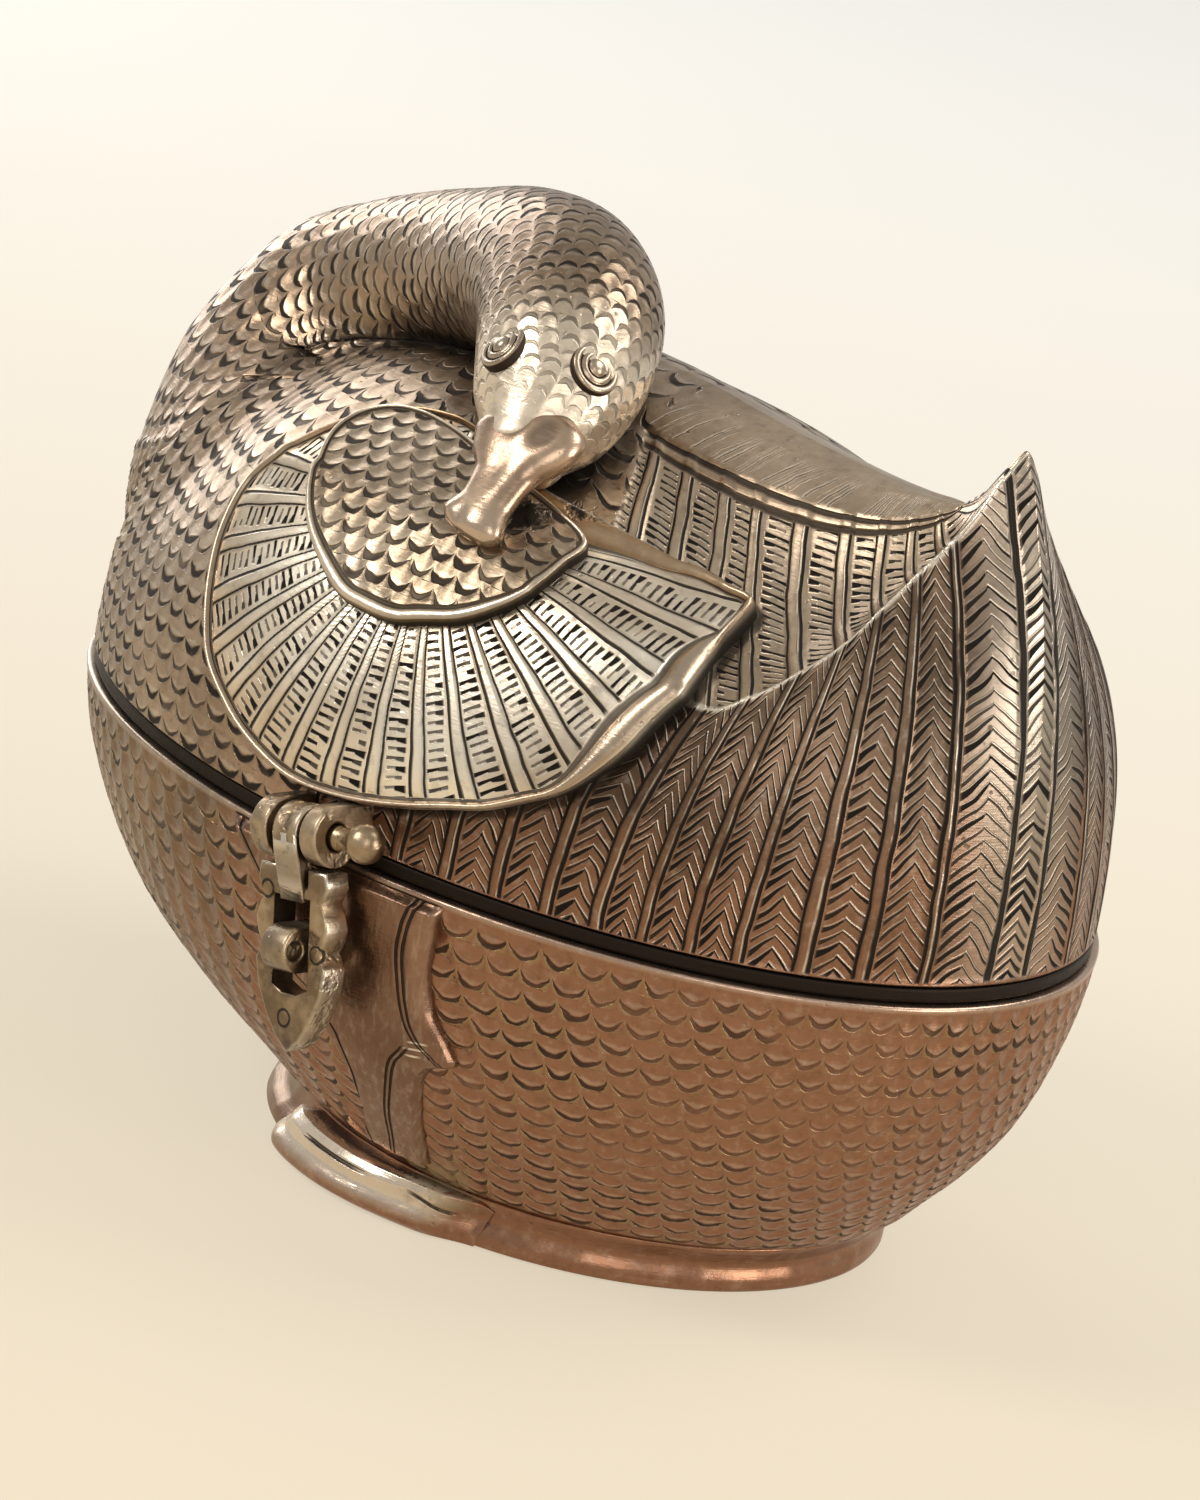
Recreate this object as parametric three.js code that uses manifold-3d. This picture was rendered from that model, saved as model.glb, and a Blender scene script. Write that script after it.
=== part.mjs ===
// A covered brass box in the shape of a resting duck with its head laid back on its shoulder.
// Millimetres, +Z up. X runs from the chest (-) to the tail (+). The hasp is on the -Y side,
// which is the duck's left, and the lid's hinge is on the +Y side.

import * as THREE from 'three';
import { mergeVertices } from 'three/addons/utils/BufferGeometryUtils.js';
import Module from 'manifold-3d';

const wasm = await Module();
wasm.setup();

// Gaps between pieces
const seatGap = 0.3;
const tongueGap = 0.4;
const pinGap = 0.3;
const weldTolerance = 0.0001;

// Bowl
const tailReach = 83;
const chestReach = 78;
const bodyHalfWidth = 58;
const bowlTop = 49.5;
const bowlWall = 2.8;
const bowlFloor = 3;
const baseHalfLength = 44;
const baseHalfWidth = 40.3;
const baseCentre = 18.5;

// Foot ring
const ringHeight = 7;
const ringHalfLength = 45;
const ringHalfWidth = 40.6;
const ringCentre = 14.5;
const ringWall = 4;

// Lid
const partingBand = 2.5;
const bandInset = 1;
const tongueDepth = 3.5;
const tongueWall = 2.8;
const lidHeight = 64.5;
const lidWall = 3.5;
const lidEdgeWall = 4.5;
const tailSolidDepth = 12;
const flankBulge = 2;
const backSag = 3.2;
const shoulderRise = 2.0;
const spineRise = 0.8;

// Neck, head, bill and eyes
const headRadius = 12;
const billHalfWidth = 8.2;
const billHalfDepth = 4.4;
const eyeRadius = 3.6;
const eyeRise = 1.5;
const eyeRoot = 2.4;

// Wings and shoulder discs
const wingRise = 3;
const discRise = 1.9;
const padRoot = 1.5;

// Legs and feet
const legRise = 1.8;
const footHeight = 6.6;
const footReach = 5.4;

// Hasp, its pin and lugs, and the staple
const latchPlace = 14.8;
const latchTilt = 12;
const pinStandOff = 4.2;
const pinRise = 0.8;
const latchPinRadius = 1.5;
const pinBallRadius = 2.6;
const pinTail = 10;
const pinNose = 8.9;
const lugNose = 4;
const lugThickness = 3;
const lugRoot = 8;
const haspEyeRadius = 3.7;
const haspEyeWidth = 4.6;
const haspThickness = 4;
const haspLength = 28.5;
const haspHalfWidth = 6.8;
const haspSlotHalfWidth = 3.3;
const haspSlotTop = 8.5;
const haspSlotBottom = 20;
const strapThickness = 2.2;
const haspOffset = 0.2;
const stapleHalfWidth = 2.3;
const stapleTop = 12;
const stapleBottom = 18;
const stapleOut = 5;
const stapleHole = 1.6;

// Hinge
const hingePlace = 14.8;
const hingeStandOff = 5.1;
const hingeDrop = 1.5;
const knuckleRadius = 3.2;
const hingePinRadius = 1.5;
const hingeHeadRadius = 2.4;
const hingeHeadLength = 1.2;
const bowlLugWidth = 7;
const lidLugWidth = 8;
const hingeRoot = 9;
const hingeArm = 4.4;

// Derived from the sizes above
const rimCentre = (tailReach - chestReach) / 2;
const rimHalfLength = (tailReach + chestReach) / 2;
const lidEdge = bowlTop + partingBand;
const bowlBase = ringHeight + seatGap;

// Bowl profile: height and how far the section has grown from the base to the rim
const bowlRiseShares = [
  [0, 0], [0.05, 0.11], [0.107, 0.21], [0.25, 0.465], [0.44, 0.715], [0.679, 0.89], [0.845, 0.965], [1, 1],
];

// Foot ring profile: height, half length, half width, centre
const ringProfileShares = [
  [0, 1, 1, 1], [0.214, 0.996, 0.995, 1.02], [0.571, 0.962, 0.966, 1.1], [1, 0.969, 0.98, 1.24],
];

// Lid stations from tail to chest. Each row: angle in half turns, ridge x y z, strip line x y z, spine x z.
// x is a share of the tail's reach, y of the half width, z of the lid's height above its edge.
const lidStationShares = [
  [0.000, 0.812, 0.000, 1.000, 0.693, 0.000, 0.868, 0.693, 0.868],
  [0.033, 0.797, 0.079, 0.930, 0.701, 0.028, 0.862, 0.682, 0.865],
  [0.071, 0.788, 0.148, 0.851, 0.693, 0.055, 0.850, 0.663, 0.862],
  [0.114, 0.778, 0.222, 0.781, 0.669, 0.090, 0.831, 0.620, 0.859],
  [0.155, 0.770, 0.302, 0.707, 0.633, 0.124, 0.814, 0.572, 0.857],
  [0.197, 0.763, 0.381, 0.637, 0.578, 0.152, 0.800, 0.512, 0.857],
  [0.227, 0.742, 0.471, 0.571, 0.500, 0.176, 0.791, 0.440, 0.859],
  [0.256, 0.708, 0.560, 0.507, 0.410, 0.193, 0.789, 0.361, 0.862],
  [0.281, 0.670, 0.624, 0.468, 0.349, 0.202, 0.791, 0.301, 0.867],
  [0.311, 0.596, 0.666, 0.473, 0.271, 0.210, 0.794, 0.229, 0.873],
  [0.356, 0.458, 0.707, 0.519, 0.169, 0.221, 0.803, 0.145, 0.881],
  [0.411, 0.289, 0.750, 0.558, 0.060, 0.228, 0.816, 0.060, 0.884],
  [0.467, 0.114, 0.772, 0.581, -0.036, 0.233, 0.822, -0.036, 0.884],
  [0.528, -0.096, 0.766, 0.589, -0.145, 0.233, 0.822, -0.145, 0.881],
  [0.600, -0.313, 0.698, 0.581, -0.253, 0.224, 0.809, -0.253, 0.865],
  [0.678, -0.494, 0.543, 0.550, -0.361, 0.198, 0.783, -0.361, 0.834],
  [0.778, -0.633, 0.345, 0.527, -0.458, 0.147, 0.744, -0.458, 0.791],
  [0.889, -0.705, 0.164, 0.504, -0.518, 0.069, 0.713, -0.518, 0.744],
  [1.000, -0.723, 0.000, 0.496, -0.542, 0.000, 0.705, -0.542, 0.721],
];

// Neck and head centreline with its two radii, as x y z and shares of the head's radius
const neckShares = [
  [-0.542, 0.000, 0.000, 2.84, 2.67],
  [-0.572, 0.000, 0.078, 2.82, 2.63],
  [-0.639, -0.010, 0.248, 2.64, 2.34],
  [-0.690, -0.015, 0.419, 2.33, 2.04],
  [-0.708, -0.010, 0.550, 1.92, 1.79],
  [-0.683, 0.000, 0.672, 1.48, 1.44],
  [-0.603, 0.000, 0.765, 1.22, 1.20],
  [-0.480, -0.034, 0.853, 1.09, 1.06],
  [-0.326, -0.095, 0.933, 1.02, 0.99],
  [-0.187, -0.172, 0.989, 1.02, 0.98],
  [-0.060, -0.259, 1.008, 1.02, 1.00],
  [0.034, -0.345, 0.984, 1.02, 0.99],
  [0.102, -0.440, 0.927, 0.97, 0.95],
  [0.148, -0.534, 0.853, 0.82, 0.80],
  [0.182, -0.621, 0.791, 0.50, 0.50],
];
const headStartShare = 0.79;
const eyeShares = [
  [0.917, 56],
  [0.910, 133],
];

// Bill centreline with half width and half depth
const billShares = [
  [0.186, -0.590, 0.843, 0.62, 0.75],
  [0.200, -0.640, 0.814, 1.00, 0.95],
  [0.208, -0.680, 0.783, 0.85, 0.80],
  [0.217, -0.722, 0.744, 0.55, 0.62],
  [0.223, -0.764, 0.700, 0.50, 0.60],
  [0.222, -0.795, 0.660, 0.64, 0.66],
  [0.219, -0.812, 0.630, 0.42, 0.42],
];

// Outlines on the lid: angle in half turns from the tail and height through the stations
const wingShares = [
  [0.254, 1.47], [0.278, 1.24], [0.294, 1.01], [0.299, 0.89], [0.303, 0.75], [0.311, 0.63],
  [0.323, 0.51], [0.338, 0.42], [0.357, 0.33], [0.379, 0.27], [0.408, 0.20], [0.439, 0.15],
  [0.467, 0.13], [0.489, 0.14], [0.516, 0.19], [0.536, 0.25], [0.560, 0.35], [0.573, 0.46],
  [0.584, 0.59], [0.592, 0.73], [0.592, 0.88], [0.577, 1.01], [0.566, 1.16], [0.554, 1.28],
  [0.538, 1.38], [0.512, 1.45], [0.483, 1.47], [0.434, 1.40], [0.400, 1.39], [0.357, 1.42],
  [0.314, 1.50], [0.283, 1.54],
];
const wingCentreShares = [0.425, 0.86];
const discShares = [
  [0.533, 1.34], [0.547, 1.25], [0.549, 1.13], [0.539, 0.99], [0.528, 0.89], [0.512, 0.81],
  [0.486, 0.73], [0.466, 0.72], [0.447, 0.73], [0.431, 0.77], [0.411, 0.83], [0.396, 0.92],
  [0.388, 1.00], [0.379, 1.12], [0.371, 1.24], [0.394, 1.29], [0.419, 1.32], [0.451, 1.35],
  [0.483, 1.38], [0.512, 1.38],
];
const discCentreShares = [0.454, 1.07];
const farWingShare = 0.62;
const farWingLengthShare = 0.72;
const farWingTurnShare = 0.49;
const farWingFoot = wingShares[12][1];

// Leg edges on the bowl: height, then the chest-side and tail-side angles in half turns
const legShares = [
  [0.20, 0.491, 0.420], [0.26, 0.472, 0.412], [0.34, 0.455, 0.401], [0.43, 0.451, 0.391], [0.49, 0.453, 0.385],
  [0.53, 0.459, 0.376], [0.565, 0.468, 0.359], [0.62, 0.476, 0.364], [0.70, 0.481, 0.374], [0.80, 0.486, 0.376],
  [0.90, 0.502, 0.374], [0.985, 0.520, 0.373],
];
const legAcrossShares = [[0, 0.25], [0.1, 1], [0.5, 1.1], [0.9, 1], [1, 0.25]];

// Foot along the ring: angle in half turns and reach; its section as reach and height
const footShares = [
  [0.355, 0.15], [0.37, 0.45], [0.40, 0.62], [0.44, 0.78], [0.48, 0.95], [0.52, 1.00],
  [0.56, 0.95], [0.60, 0.80], [0.635, 0.30],
];
const footSectionShares = [[0.55, 0], [0.82, 0.12], [1, 0.45], [0.97, 0.75], [0.72, 1]];

// Mesh counts
const columns = 72;
const neckColumns = 36;
const neckRows = 44;
const lidRowShares = [0, 0.08, 0.2, 0.35, 0.5, 0.65, 0.8, 0.92, 1, 1.2, 1.4, 1.6, 1.8, 2, 2.35, 2.7, 3];
const cavityRowShares = [0, 0.15, 0.35, 0.55, 0.75, 1, 1.35, 1.7, 2, 3];
const padRingShares = [[1, 0.3], [0.96, 0.85], [0.88, 1], [0.66, 1], [0.36, 1]];
const roundSteps = 24;

// Small maths helpers
const degrees = (value) => value * Math.PI / 180;
const halfTurns = (value) => value * Math.PI;
const point = (x, y, z) => new THREE.Vector3(x, y, z);
const onLid = (xShare, yShare, zShare) => point(
  xShare * tailReach,
  yShare * bodyHalfWidth,
  lidEdge + zShare * lidHeight,
);

function smooth(value, from, to) {
  return THREE.MathUtils.smoothstep(value, from, to);
}

// A smooth curve through a table that never overshoots between its rows
function monotone(xs, ys) {
  const last = xs.length - 1;
  const steps = xs.slice(1).map((x, i) => x - xs[i]);
  const slopes = steps.map((step, i) => (ys[i + 1] - ys[i]) / step);
  const tangents = ys.map((y, i) => {
    if (i === 0) return slopes[0];
    if (i === last) return slopes[last - 1];
    if (slopes[i - 1] * slopes[i] <= 0) return 0;
    const before = 2 * steps[i] + steps[i - 1];
    const after = steps[i] + 2 * steps[i - 1];
    return (before + after) / (before / slopes[i - 1] + after / slopes[i]);
  });
  return (x) => {
    const inside = THREE.MathUtils.clamp(x, xs[0], xs[last]);
    let i = 0;
    while (i < last - 1 && inside > xs[i + 1]) i += 1;
    const t = (inside - xs[i]) / steps[i];
    const rise = t * t * (3 - 2 * t);
    return ys[i] * (1 - rise) + ys[i + 1] * rise
      + steps[i] * (t * (1 - t) * (1 - t) * tangents[i] - t * t * (1 - t) * tangents[i + 1]);
  };
}

const columnOf = (table, k) => table.map((row) => row[k]);
const tableCurves = (table, from = 1) => columnOf(table[0].slice(from).map((_, k) => [k + from]), 0)
  .map((k) => monotone(columnOf(table, 0), columnOf(table, k)));

// Closed bodies from rings of points
function solidFromGeometry(source, frame) {
  const bare = source.clone();
  bare.deleteAttribute('normal');
  bare.deleteAttribute('uv');
  const welded = mergeVertices(bare, weldTolerance);
  if (frame) welded.applyMatrix4(frame);
  const places = welded.attributes.position.array;
  const corners = welded.index.array;
  const kept = [];
  let volume = 0;
  const a = point(0, 0, 0);
  const b = point(0, 0, 0);
  const c = point(0, 0, 0);
  for (let i = 0; i < corners.length; i += 3) {
    const [p, q, r] = [corners[i], corners[i + 1], corners[i + 2]];
    if (p !== q && q !== r && r !== p) {
      kept.push(p, q, r);
      a.fromArray(places, 3 * p);
      b.fromArray(places, 3 * q);
      c.fromArray(places, 3 * r);
      volume += a.dot(b.cross(c));
    }
  }
  if (volume < 0) kept.reverse();
  return new wasm.Manifold(new wasm.Mesh({
    numProp: 3,
    vertProperties: new Float32Array(places),
    triVerts: new Uint32Array(kept),
  }));
}

function geometryFromSolid(solid) {
  const mesh = solid.getMesh();
  const geometry = new THREE.BufferGeometry();
  geometry.setAttribute('position', new THREE.BufferAttribute(new Float32Array(mesh.vertProperties), 3));
  geometry.setIndex(new THREE.BufferAttribute(new Uint32Array(mesh.triVerts), 1));
  geometry.computeVertexNormals();
  return geometry;
}

function skin(rings, joinsItself = false) {
  const count = rings[0].length;
  const places = rings.flat().flatMap((p) => [p.x, p.y, p.z]);
  const corners = [];
  const spans = joinsItself ? rings.length : rings.length - 1;
  for (let i = 0; i < spans; i += 1) {
    const low = i * count;
    const high = ((i + 1) % rings.length) * count;
    for (let k = 0; k < count; k += 1) {
      const next = (k + 1) % count;
      corners.push(low + k, low + next, high + next, low + k, high + next, high + k);
    }
  }
  const cap = (ring, start, flip) => {
    const middle = ring.reduce((sum, p) => sum.add(p), point(0, 0, 0)).divideScalar(count);
    const hub = places.length / 3;
    places.push(middle.x, middle.y, middle.z);
    for (let k = 0; k < count; k += 1) {
      const next = (k + 1) % count;
      if (flip) corners.push(hub, start + next, start + k);
      else corners.push(hub, start + k, start + next);
    }
  };
  if (!joinsItself) {
    cap(rings[0], 0, true);
    cap(rings[rings.length - 1], (rings.length - 1) * count, false);
  }
  const geometry = new THREE.BufferGeometry();
  geometry.setAttribute('position', new THREE.Float32BufferAttribute(places, 3));
  geometry.setIndex(corners);
  return solidFromGeometry(geometry);
}

const anglesAround = (count) => Array.from({ length: count }, (_, k) => 2 * Math.PI * k / count);

function ellipse(centre, halfLength, halfWidth, z, count = columns) {
  return anglesAround(count).map((angle) => point(
    centre + halfLength * Math.cos(angle),
    halfWidth * Math.sin(angle),
    z,
  ));
}

// Surfaces as functions of an angle from the tail and a height parameter
const bowlGrowth = monotone(columnOf(bowlRiseShares, 0), columnOf(bowlRiseShares, 1));
function bowlSection(z) {
  const grown = bowlGrowth((z - bowlBase) / (bowlTop - bowlBase));
  return [
    THREE.MathUtils.lerp(baseCentre, rimCentre, grown),
    THREE.MathUtils.lerp(baseHalfLength, rimHalfLength, grown),
    THREE.MathUtils.lerp(baseHalfWidth, bodyHalfWidth, grown),
  ];
}
function bowlSurface(angle, z) {
  const [centre, halfLength, halfWidth] = bowlSection(z);
  return point(centre + halfLength * Math.cos(angle), halfWidth * Math.sin(angle), z);
}

const ringCurves = tableCurves(ringProfileShares);
function ringSurface(angle, z) {
  const [long, wide, middle] = ringCurves.map((curve) => curve(z / ringHeight));
  return point(
    middle * ringCentre + long * ringHalfLength * Math.cos(angle),
    wide * ringHalfWidth * Math.sin(angle),
    z,
  );
}

const lidOutlineShare = 0.988;
const stationCurves = tableCurves(lidStationShares);
function lidLines(angle, inset) {
  const turn = Math.abs(angle) / Math.PI;
  const side = angle < 0 ? -1 : 1;
  const [x1, y1, z1, x2, y2, z2, x3, z3] = stationCurves.map((curve) => curve(turn));
  const edge = point(
    rimCentre + rimHalfLength * Math.cos(angle),
    bodyHalfWidth * Math.sin(angle),
    0,
  ).multiplyScalar(lidOutlineShare);
  edge.z = lidEdge;
  const ridge = onLid(x1, side * y1, z1);
  const strip = onLid(x2, side * y2, z2);
  const spine = onLid(x3, 0, z3);
  if (inset) {
    const inward = point(-Math.cos(angle), -Math.sin(angle), 0);
    const tailShare = 1 - smooth(turn, 0, 0.3);
    edge.addScaledVector(inward, lidEdgeWall);
    ridge.addScaledVector(inward, lidEdgeWall);
    ridge.z -= lidWall + tailSolidDepth * tailShare;
    strip.z -= lidWall;
    spine.z -= lidWall + spineRise;
  }
  return [edge, ridge, strip, spine];
}

function lidSurface(angle, height, inset = false) {
  let wrapped = angle;
  if (wrapped > Math.PI) wrapped -= 2 * Math.PI;
  if (wrapped < -Math.PI) wrapped += 2 * Math.PI;
  const [edge, ridge, strip, spine] = lidLines(wrapped, inset);
  const turn = Math.abs(wrapped) / Math.PI;
  const shoulder = smooth(turn, 0.21, 0.39);
  if (height <= 1) {
    const bend = Math.pow(Math.max(height, 0), 1.9 + 0.6 * shoulder);
    const bulge = (1 - shoulder) * flankBulge * Math.sin(Math.PI * height) * height;
    return point(
      THREE.MathUtils.lerp(edge.x, ridge.x, bend) + bulge * Math.cos(wrapped),
      THREE.MathUtils.lerp(edge.y, ridge.y, bend) + bulge * Math.sin(wrapped),
      THREE.MathUtils.lerp(edge.z, ridge.z, height),
    );
  }
  if (height <= 2) {
    const rise = shoulderRise * shoulder - backSag * (1 - shoulder) * smooth(turn, 0, 0.09);
    const place = ridge.lerp(strip, height - 1);
    place.z += rise * Math.sin(Math.PI * (height - 1));
    return place;
  }
  const place = strip.lerp(spine, height - 2);
  place.z += spineRise * smooth(turn, 0, 0.11) * Math.sin(Math.PI * (height - 2));
  return place;
}

// A point lifted off a surface along its outward normal
function lifted(surface, angle, height, heightStep, lift) {
  const angleStep = Math.PI / 720;
  const along = surface(angle + angleStep, height).sub(surface(angle - angleStep, height));
  const upward = surface(angle, height + heightStep).sub(surface(angle, height - heightStep));
  return surface(angle, height).addScaledVector(along.cross(upward).normalize(), lift);
}

// Bowl and foot ring
const bowlRowShares = [0, 0.05, 0.107, 0.18, 0.27, 0.38, 0.5, 0.65, 0.82, 1];
const bowlFloorTop = bowlBase + bowlFloor;
function bowlBody(grow) {
  const rings = bowlRowShares.map((share) => {
    const z = THREE.MathUtils.lerp(bowlBase, bowlTop, share);
    const [centre, halfLength, halfWidth] = bowlSection(z);
    return ellipse(centre, halfLength + grow, halfWidth + grow, z);
  });
  return rings;
}
const tongueBottom = bowlTop - tongueDepth;
const bowlInside = [
  ...[0, 0.14, 0.34, 0.62].map((share) => THREE.MathUtils.lerp(bowlFloorTop, tongueBottom, share)),
  tongueBottom,
  bowlTop,
].map((z) => {
  const [centre, halfLength, halfWidth] = bowlSection(z);
  return ellipse(centre, halfLength - bowlWall, halfWidth - bowlWall, z);
});
const bowlShell = skin([...bowlBody(0), ...bowlInside.reverse()]);
const bowlRoom = skin(bowlBody(seatGap));

const ringOutside = columnOf(ringProfileShares, 0).map((share) => share * ringHeight);
function ringLoop(z, grow) {
  return anglesAround(columns).map((angle) => {
    const place = ringSurface(angle, z);
    return place.add(point(grow * Math.cos(angle), grow * Math.sin(angle), 0));
  });
}
const footRing = skin([
  ...ringOutside.map((z) => ringLoop(z, 0)),
  ringLoop(ringHeight, -ringWall),
  ringLoop(0, -ringWall),
], true);
const ringRoom = skin(ringOutside.map((z) => ringLoop(z, seatGap)));

// Lip under the lid: a band that rests on the bowl's rim and a tongue inside its wall
function rimLoop(grow, z) {
  return ellipse(rimCentre, rimHalfLength + grow, bodyHalfWidth + grow, z);
}
const lipBottom = bowlTop + seatGap;
const lipTop = lidEdge - seatGap;
const tongueOuter = -(bowlWall + tongueGap);
const [tongueCentre, tongueHalfLength, tongueHalfWidth] = bowlSection(tongueBottom);
const tongueFoot = (grow) => ellipse(
  tongueCentre,
  tongueHalfLength + grow,
  tongueHalfWidth + grow,
  tongueBottom,
);
const lidLip = skin([
  rimLoop(-bandInset, lipBottom),
  rimLoop(-bandInset, lipTop),
  rimLoop(tongueOuter - tongueWall, lipTop),
  tongueFoot(tongueOuter - tongueWall),
  tongueFoot(tongueOuter),
  rimLoop(tongueOuter, lipBottom),
], true);

// Lid: the body's upper half joined with the chest and neck, hollowed from below
function lidBody(grow) {
  return skin(lidRowShares.map((height) => anglesAround(columns).map((angle) => {
    if (grow === 0) return lidSurface(angle, height);
    if (height === 3) {
      const crest = lidSurface(angle, height);
      crest.z += grow;
      return crest;
    }
    if (height === 0) {
      const foot = lidSurface(angle, 0);
      return foot.add(point(grow * Math.cos(angle), grow * Math.sin(angle), 0));
    }
    return lifted(lidSurface, angle, height, 0.004, grow);
  })));
}
const lidCavity = skin([
  anglesAround(columns / 2).map((angle) => {
    const place = lidSurface(angle, 0, true);
    place.z -= partingBand;
    return place;
  }),
  ...cavityRowShares.map((height) => anglesAround(columns / 2).map(
    (angle) => lidSurface(angle, height, true),
  )),
]);

const neckPlaces = neckShares.map((row) => onLid(row[0], row[1], row[2]));
const neckLine = new THREE.CatmullRomCurve3(neckPlaces, false, 'centripetal');
const neckKnots = neckShares.map((_, i) => i / (neckShares.length - 1));
const neckWide = monotone(neckKnots, columnOf(neckShares, 3));
const neckDeep = monotone(neckKnots, columnOf(neckShares, 4));
const neckFrames = [];
for (let i = 0; i <= neckRows; i += 1) {
  const t = i / neckRows;
  const along = neckLine.getTangent(t);
  const before = i === 0 ? point(0, 1, 0) : neckFrames[i - 1].across;
  const across = before.clone().addScaledVector(along, -before.dot(along)).normalize();
  neckFrames.push({ t, along, across, deep: along.clone().cross(across), middle: neckLine.getPoint(t) });
}
function neckLoop(frame, grow, widthShare = 1) {
  return anglesAround(neckColumns).map((angle) => frame.middle.clone()
    .addScaledVector(frame.across, (neckWide(frame.t) * headRadius * widthShare + grow) * Math.cos(angle))
    .addScaledVector(frame.deep, (neckDeep(frame.t) * headRadius * widthShare + grow) * Math.sin(angle)));
}
const headStart = Math.round(headStartShare * neckRows);
const neckBody = (grow) => skin(neckFrames.slice(0, headStart + 1).map((frame, i) => {
  const loop = neckLoop(frame, grow);
  if (i === 0) {
    loop.forEach((p) => {
      p.z = lidEdge;
    });
  }
  return loop;
}));
// The space under the lid's edge, which the slanting foot of the neck would reach into
const underLid = skin([
  rimLoop(headRadius, bowlBase),
  rimLoop(headRadius, lidEdge),
]);
const lidShell = lidBody(0).add(neckBody(0).subtract(underLid)).subtract(lidCavity);
const lidRoom = lidBody(seatGap).add(neckBody(seatGap).subtract(underLid));

// Head: the end of the neck's sweep, closed by a rounded brow, set off the neck by one gap
const headFrames = neckFrames.slice(headStart).map((frame, i) => ({
  ...frame,
  middle: frame.middle.clone().addScaledVector(frame.along, i === 0 ? seatGap : 0),
}));
const headTip = headFrames[headFrames.length - 1];
const browRings = [[0.35, 0.9], [0.6, 0.62], [0.72, 0.3]].map(([outShare, sizeShare]) => neckLoop({
  ...headTip,
  middle: headTip.middle.clone().addScaledVector(headTip.along, outShare * neckDeep(1) * headRadius),
}, 0, sizeShare));
const headWhole = skin([...headFrames.map((frame) => neckLoop(frame, 0)), ...browRings]);

// Pads that follow a surface inside an outline, such as a wing
function pad(outline, centre, side, low, high, grow) {
  const spread = 1 + grow / (2 * headRadius);
  const at = ([angle, height], share, lift) => lifted(
    lidSurface,
    side * halfTurns(THREE.MathUtils.lerp(centre[0], angle, share * spread)),
    THREE.MathUtils.lerp(centre[1], height, share * spread),
    0.004,
    lift,
  );
  const seat = Math.max(low, 0);
  return skin([
    ...padRingShares.slice().reverse().map(([share]) => outline.map((p) => at(p, share, low))),
    ...padRingShares.map(([share, rise]) => outline.map(
      (p) => at(p, share, THREE.MathUtils.lerp(seat, high, rise) + grow),
    )),
  ]);
}
// The far wing lies lower, so that it stays hidden behind the back when seen from the hasp's side
const farLowering = (outline, side) => (side < 0 ? outline : outline.map(([angle, height]) => [
  THREE.MathUtils.lerp(farWingTurnShare, angle, farWingLengthShare),
  THREE.MathUtils.lerp(farWingFoot, height, farWingShare),
]));
const wingBody = (side, grow) => pad(
  farLowering(wingShares, side),
  farLowering([wingCentreShares], side)[0],
  side,
  -padRoot,
  wingRise,
  grow,
);
const discBody = (side, grow) => pad(
  farLowering(discShares, side),
  farLowering([discCentreShares], side)[0],
  side,
  wingRise - padRoot,
  wingRise + discRise,
  grow,
);

// Legs: raised bands down the bowl
function legBody(side, grow) {
  const lastRow = legShares.length - 1;
  const rows = legShares.map(([height, chestSide, tailSide], i) => {
    const z = height * bowlTop + (i === 0 ? -grow : 0) + (i === lastRow ? grow : 0);
    const at = (share, lift) => lifted(
      bowlSurface,
      side * halfTurns(THREE.MathUtils.lerp(chestSide, tailSide, share)),
      z,
      weldTolerance * bowlTop,
      lift,
    ).setZ(z);
    const front = legAcrossShares.map(([share, rise]) => at(share, legRise * rise + grow));
    const rear = legAcrossShares.map(([share]) => at(share, -padRoot)).reverse();
    return [...front, ...rear];
  });
  return skin(rows);
}

// Feet: toes laid along the foot ring
function footBody(side) {
  const rows = footShares.map(([turn, reach]) => {
    const angle = side * halfTurns(turn);
    const at = (out, z) => ringSurface(angle, Math.min(z, ringHeight)).setZ(z)
      .add(point(out * Math.cos(angle), out * Math.sin(angle), 0));
    const outer = footSectionShares.map(([out, height]) => at(out * reach * footReach, height * footHeight));
    return [at(-padRoot, 0), ...outer, at(-padRoot, footHeight)];
  });
  return skin(rows);
}

// Latch, in a frame at the pin's centre with its first axis along the pin
const rimDepth = (x) => bodyHalfWidth * Math.sqrt(1 - ((x - rimCentre) / rimHalfLength) ** 2);
const latchFrame = new THREE.Matrix4().makeRotationY(-degrees(latchTilt))
  .setPosition(latchPlace, -(rimDepth(latchPlace) + pinStandOff), lidEdge + pinRise);
const hingeFrame = new THREE.Matrix4()
  .setPosition(hingePlace, rimDepth(hingePlace) + hingeStandOff, lidEdge - hingeDrop);

// Side profiles lie in the frame's second and third axes and are extruded along its first
const sideways = new THREE.Matrix4().makeBasis(point(0, 1, 0), point(0, 0, 1), point(1, 0, 0));
function extruded(shape, from, to, frame) {
  const geometry = new THREE.ExtrudeGeometry(shape, {
    depth: to - from,
    bevelEnabled: false,
    curveSegments: roundSteps / 2,
  });
  geometry.translate(0, 0, from);
  return solidFromGeometry(geometry, (frame ?? new THREE.Matrix4()).clone().multiply(sideways));
}
function hole(shape, y, z, radius) {
  const path = new THREE.Path();
  path.absarc(y, z, radius, 0, 2 * Math.PI, true);
  shape.holes.push(path);
  return shape;
}

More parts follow.
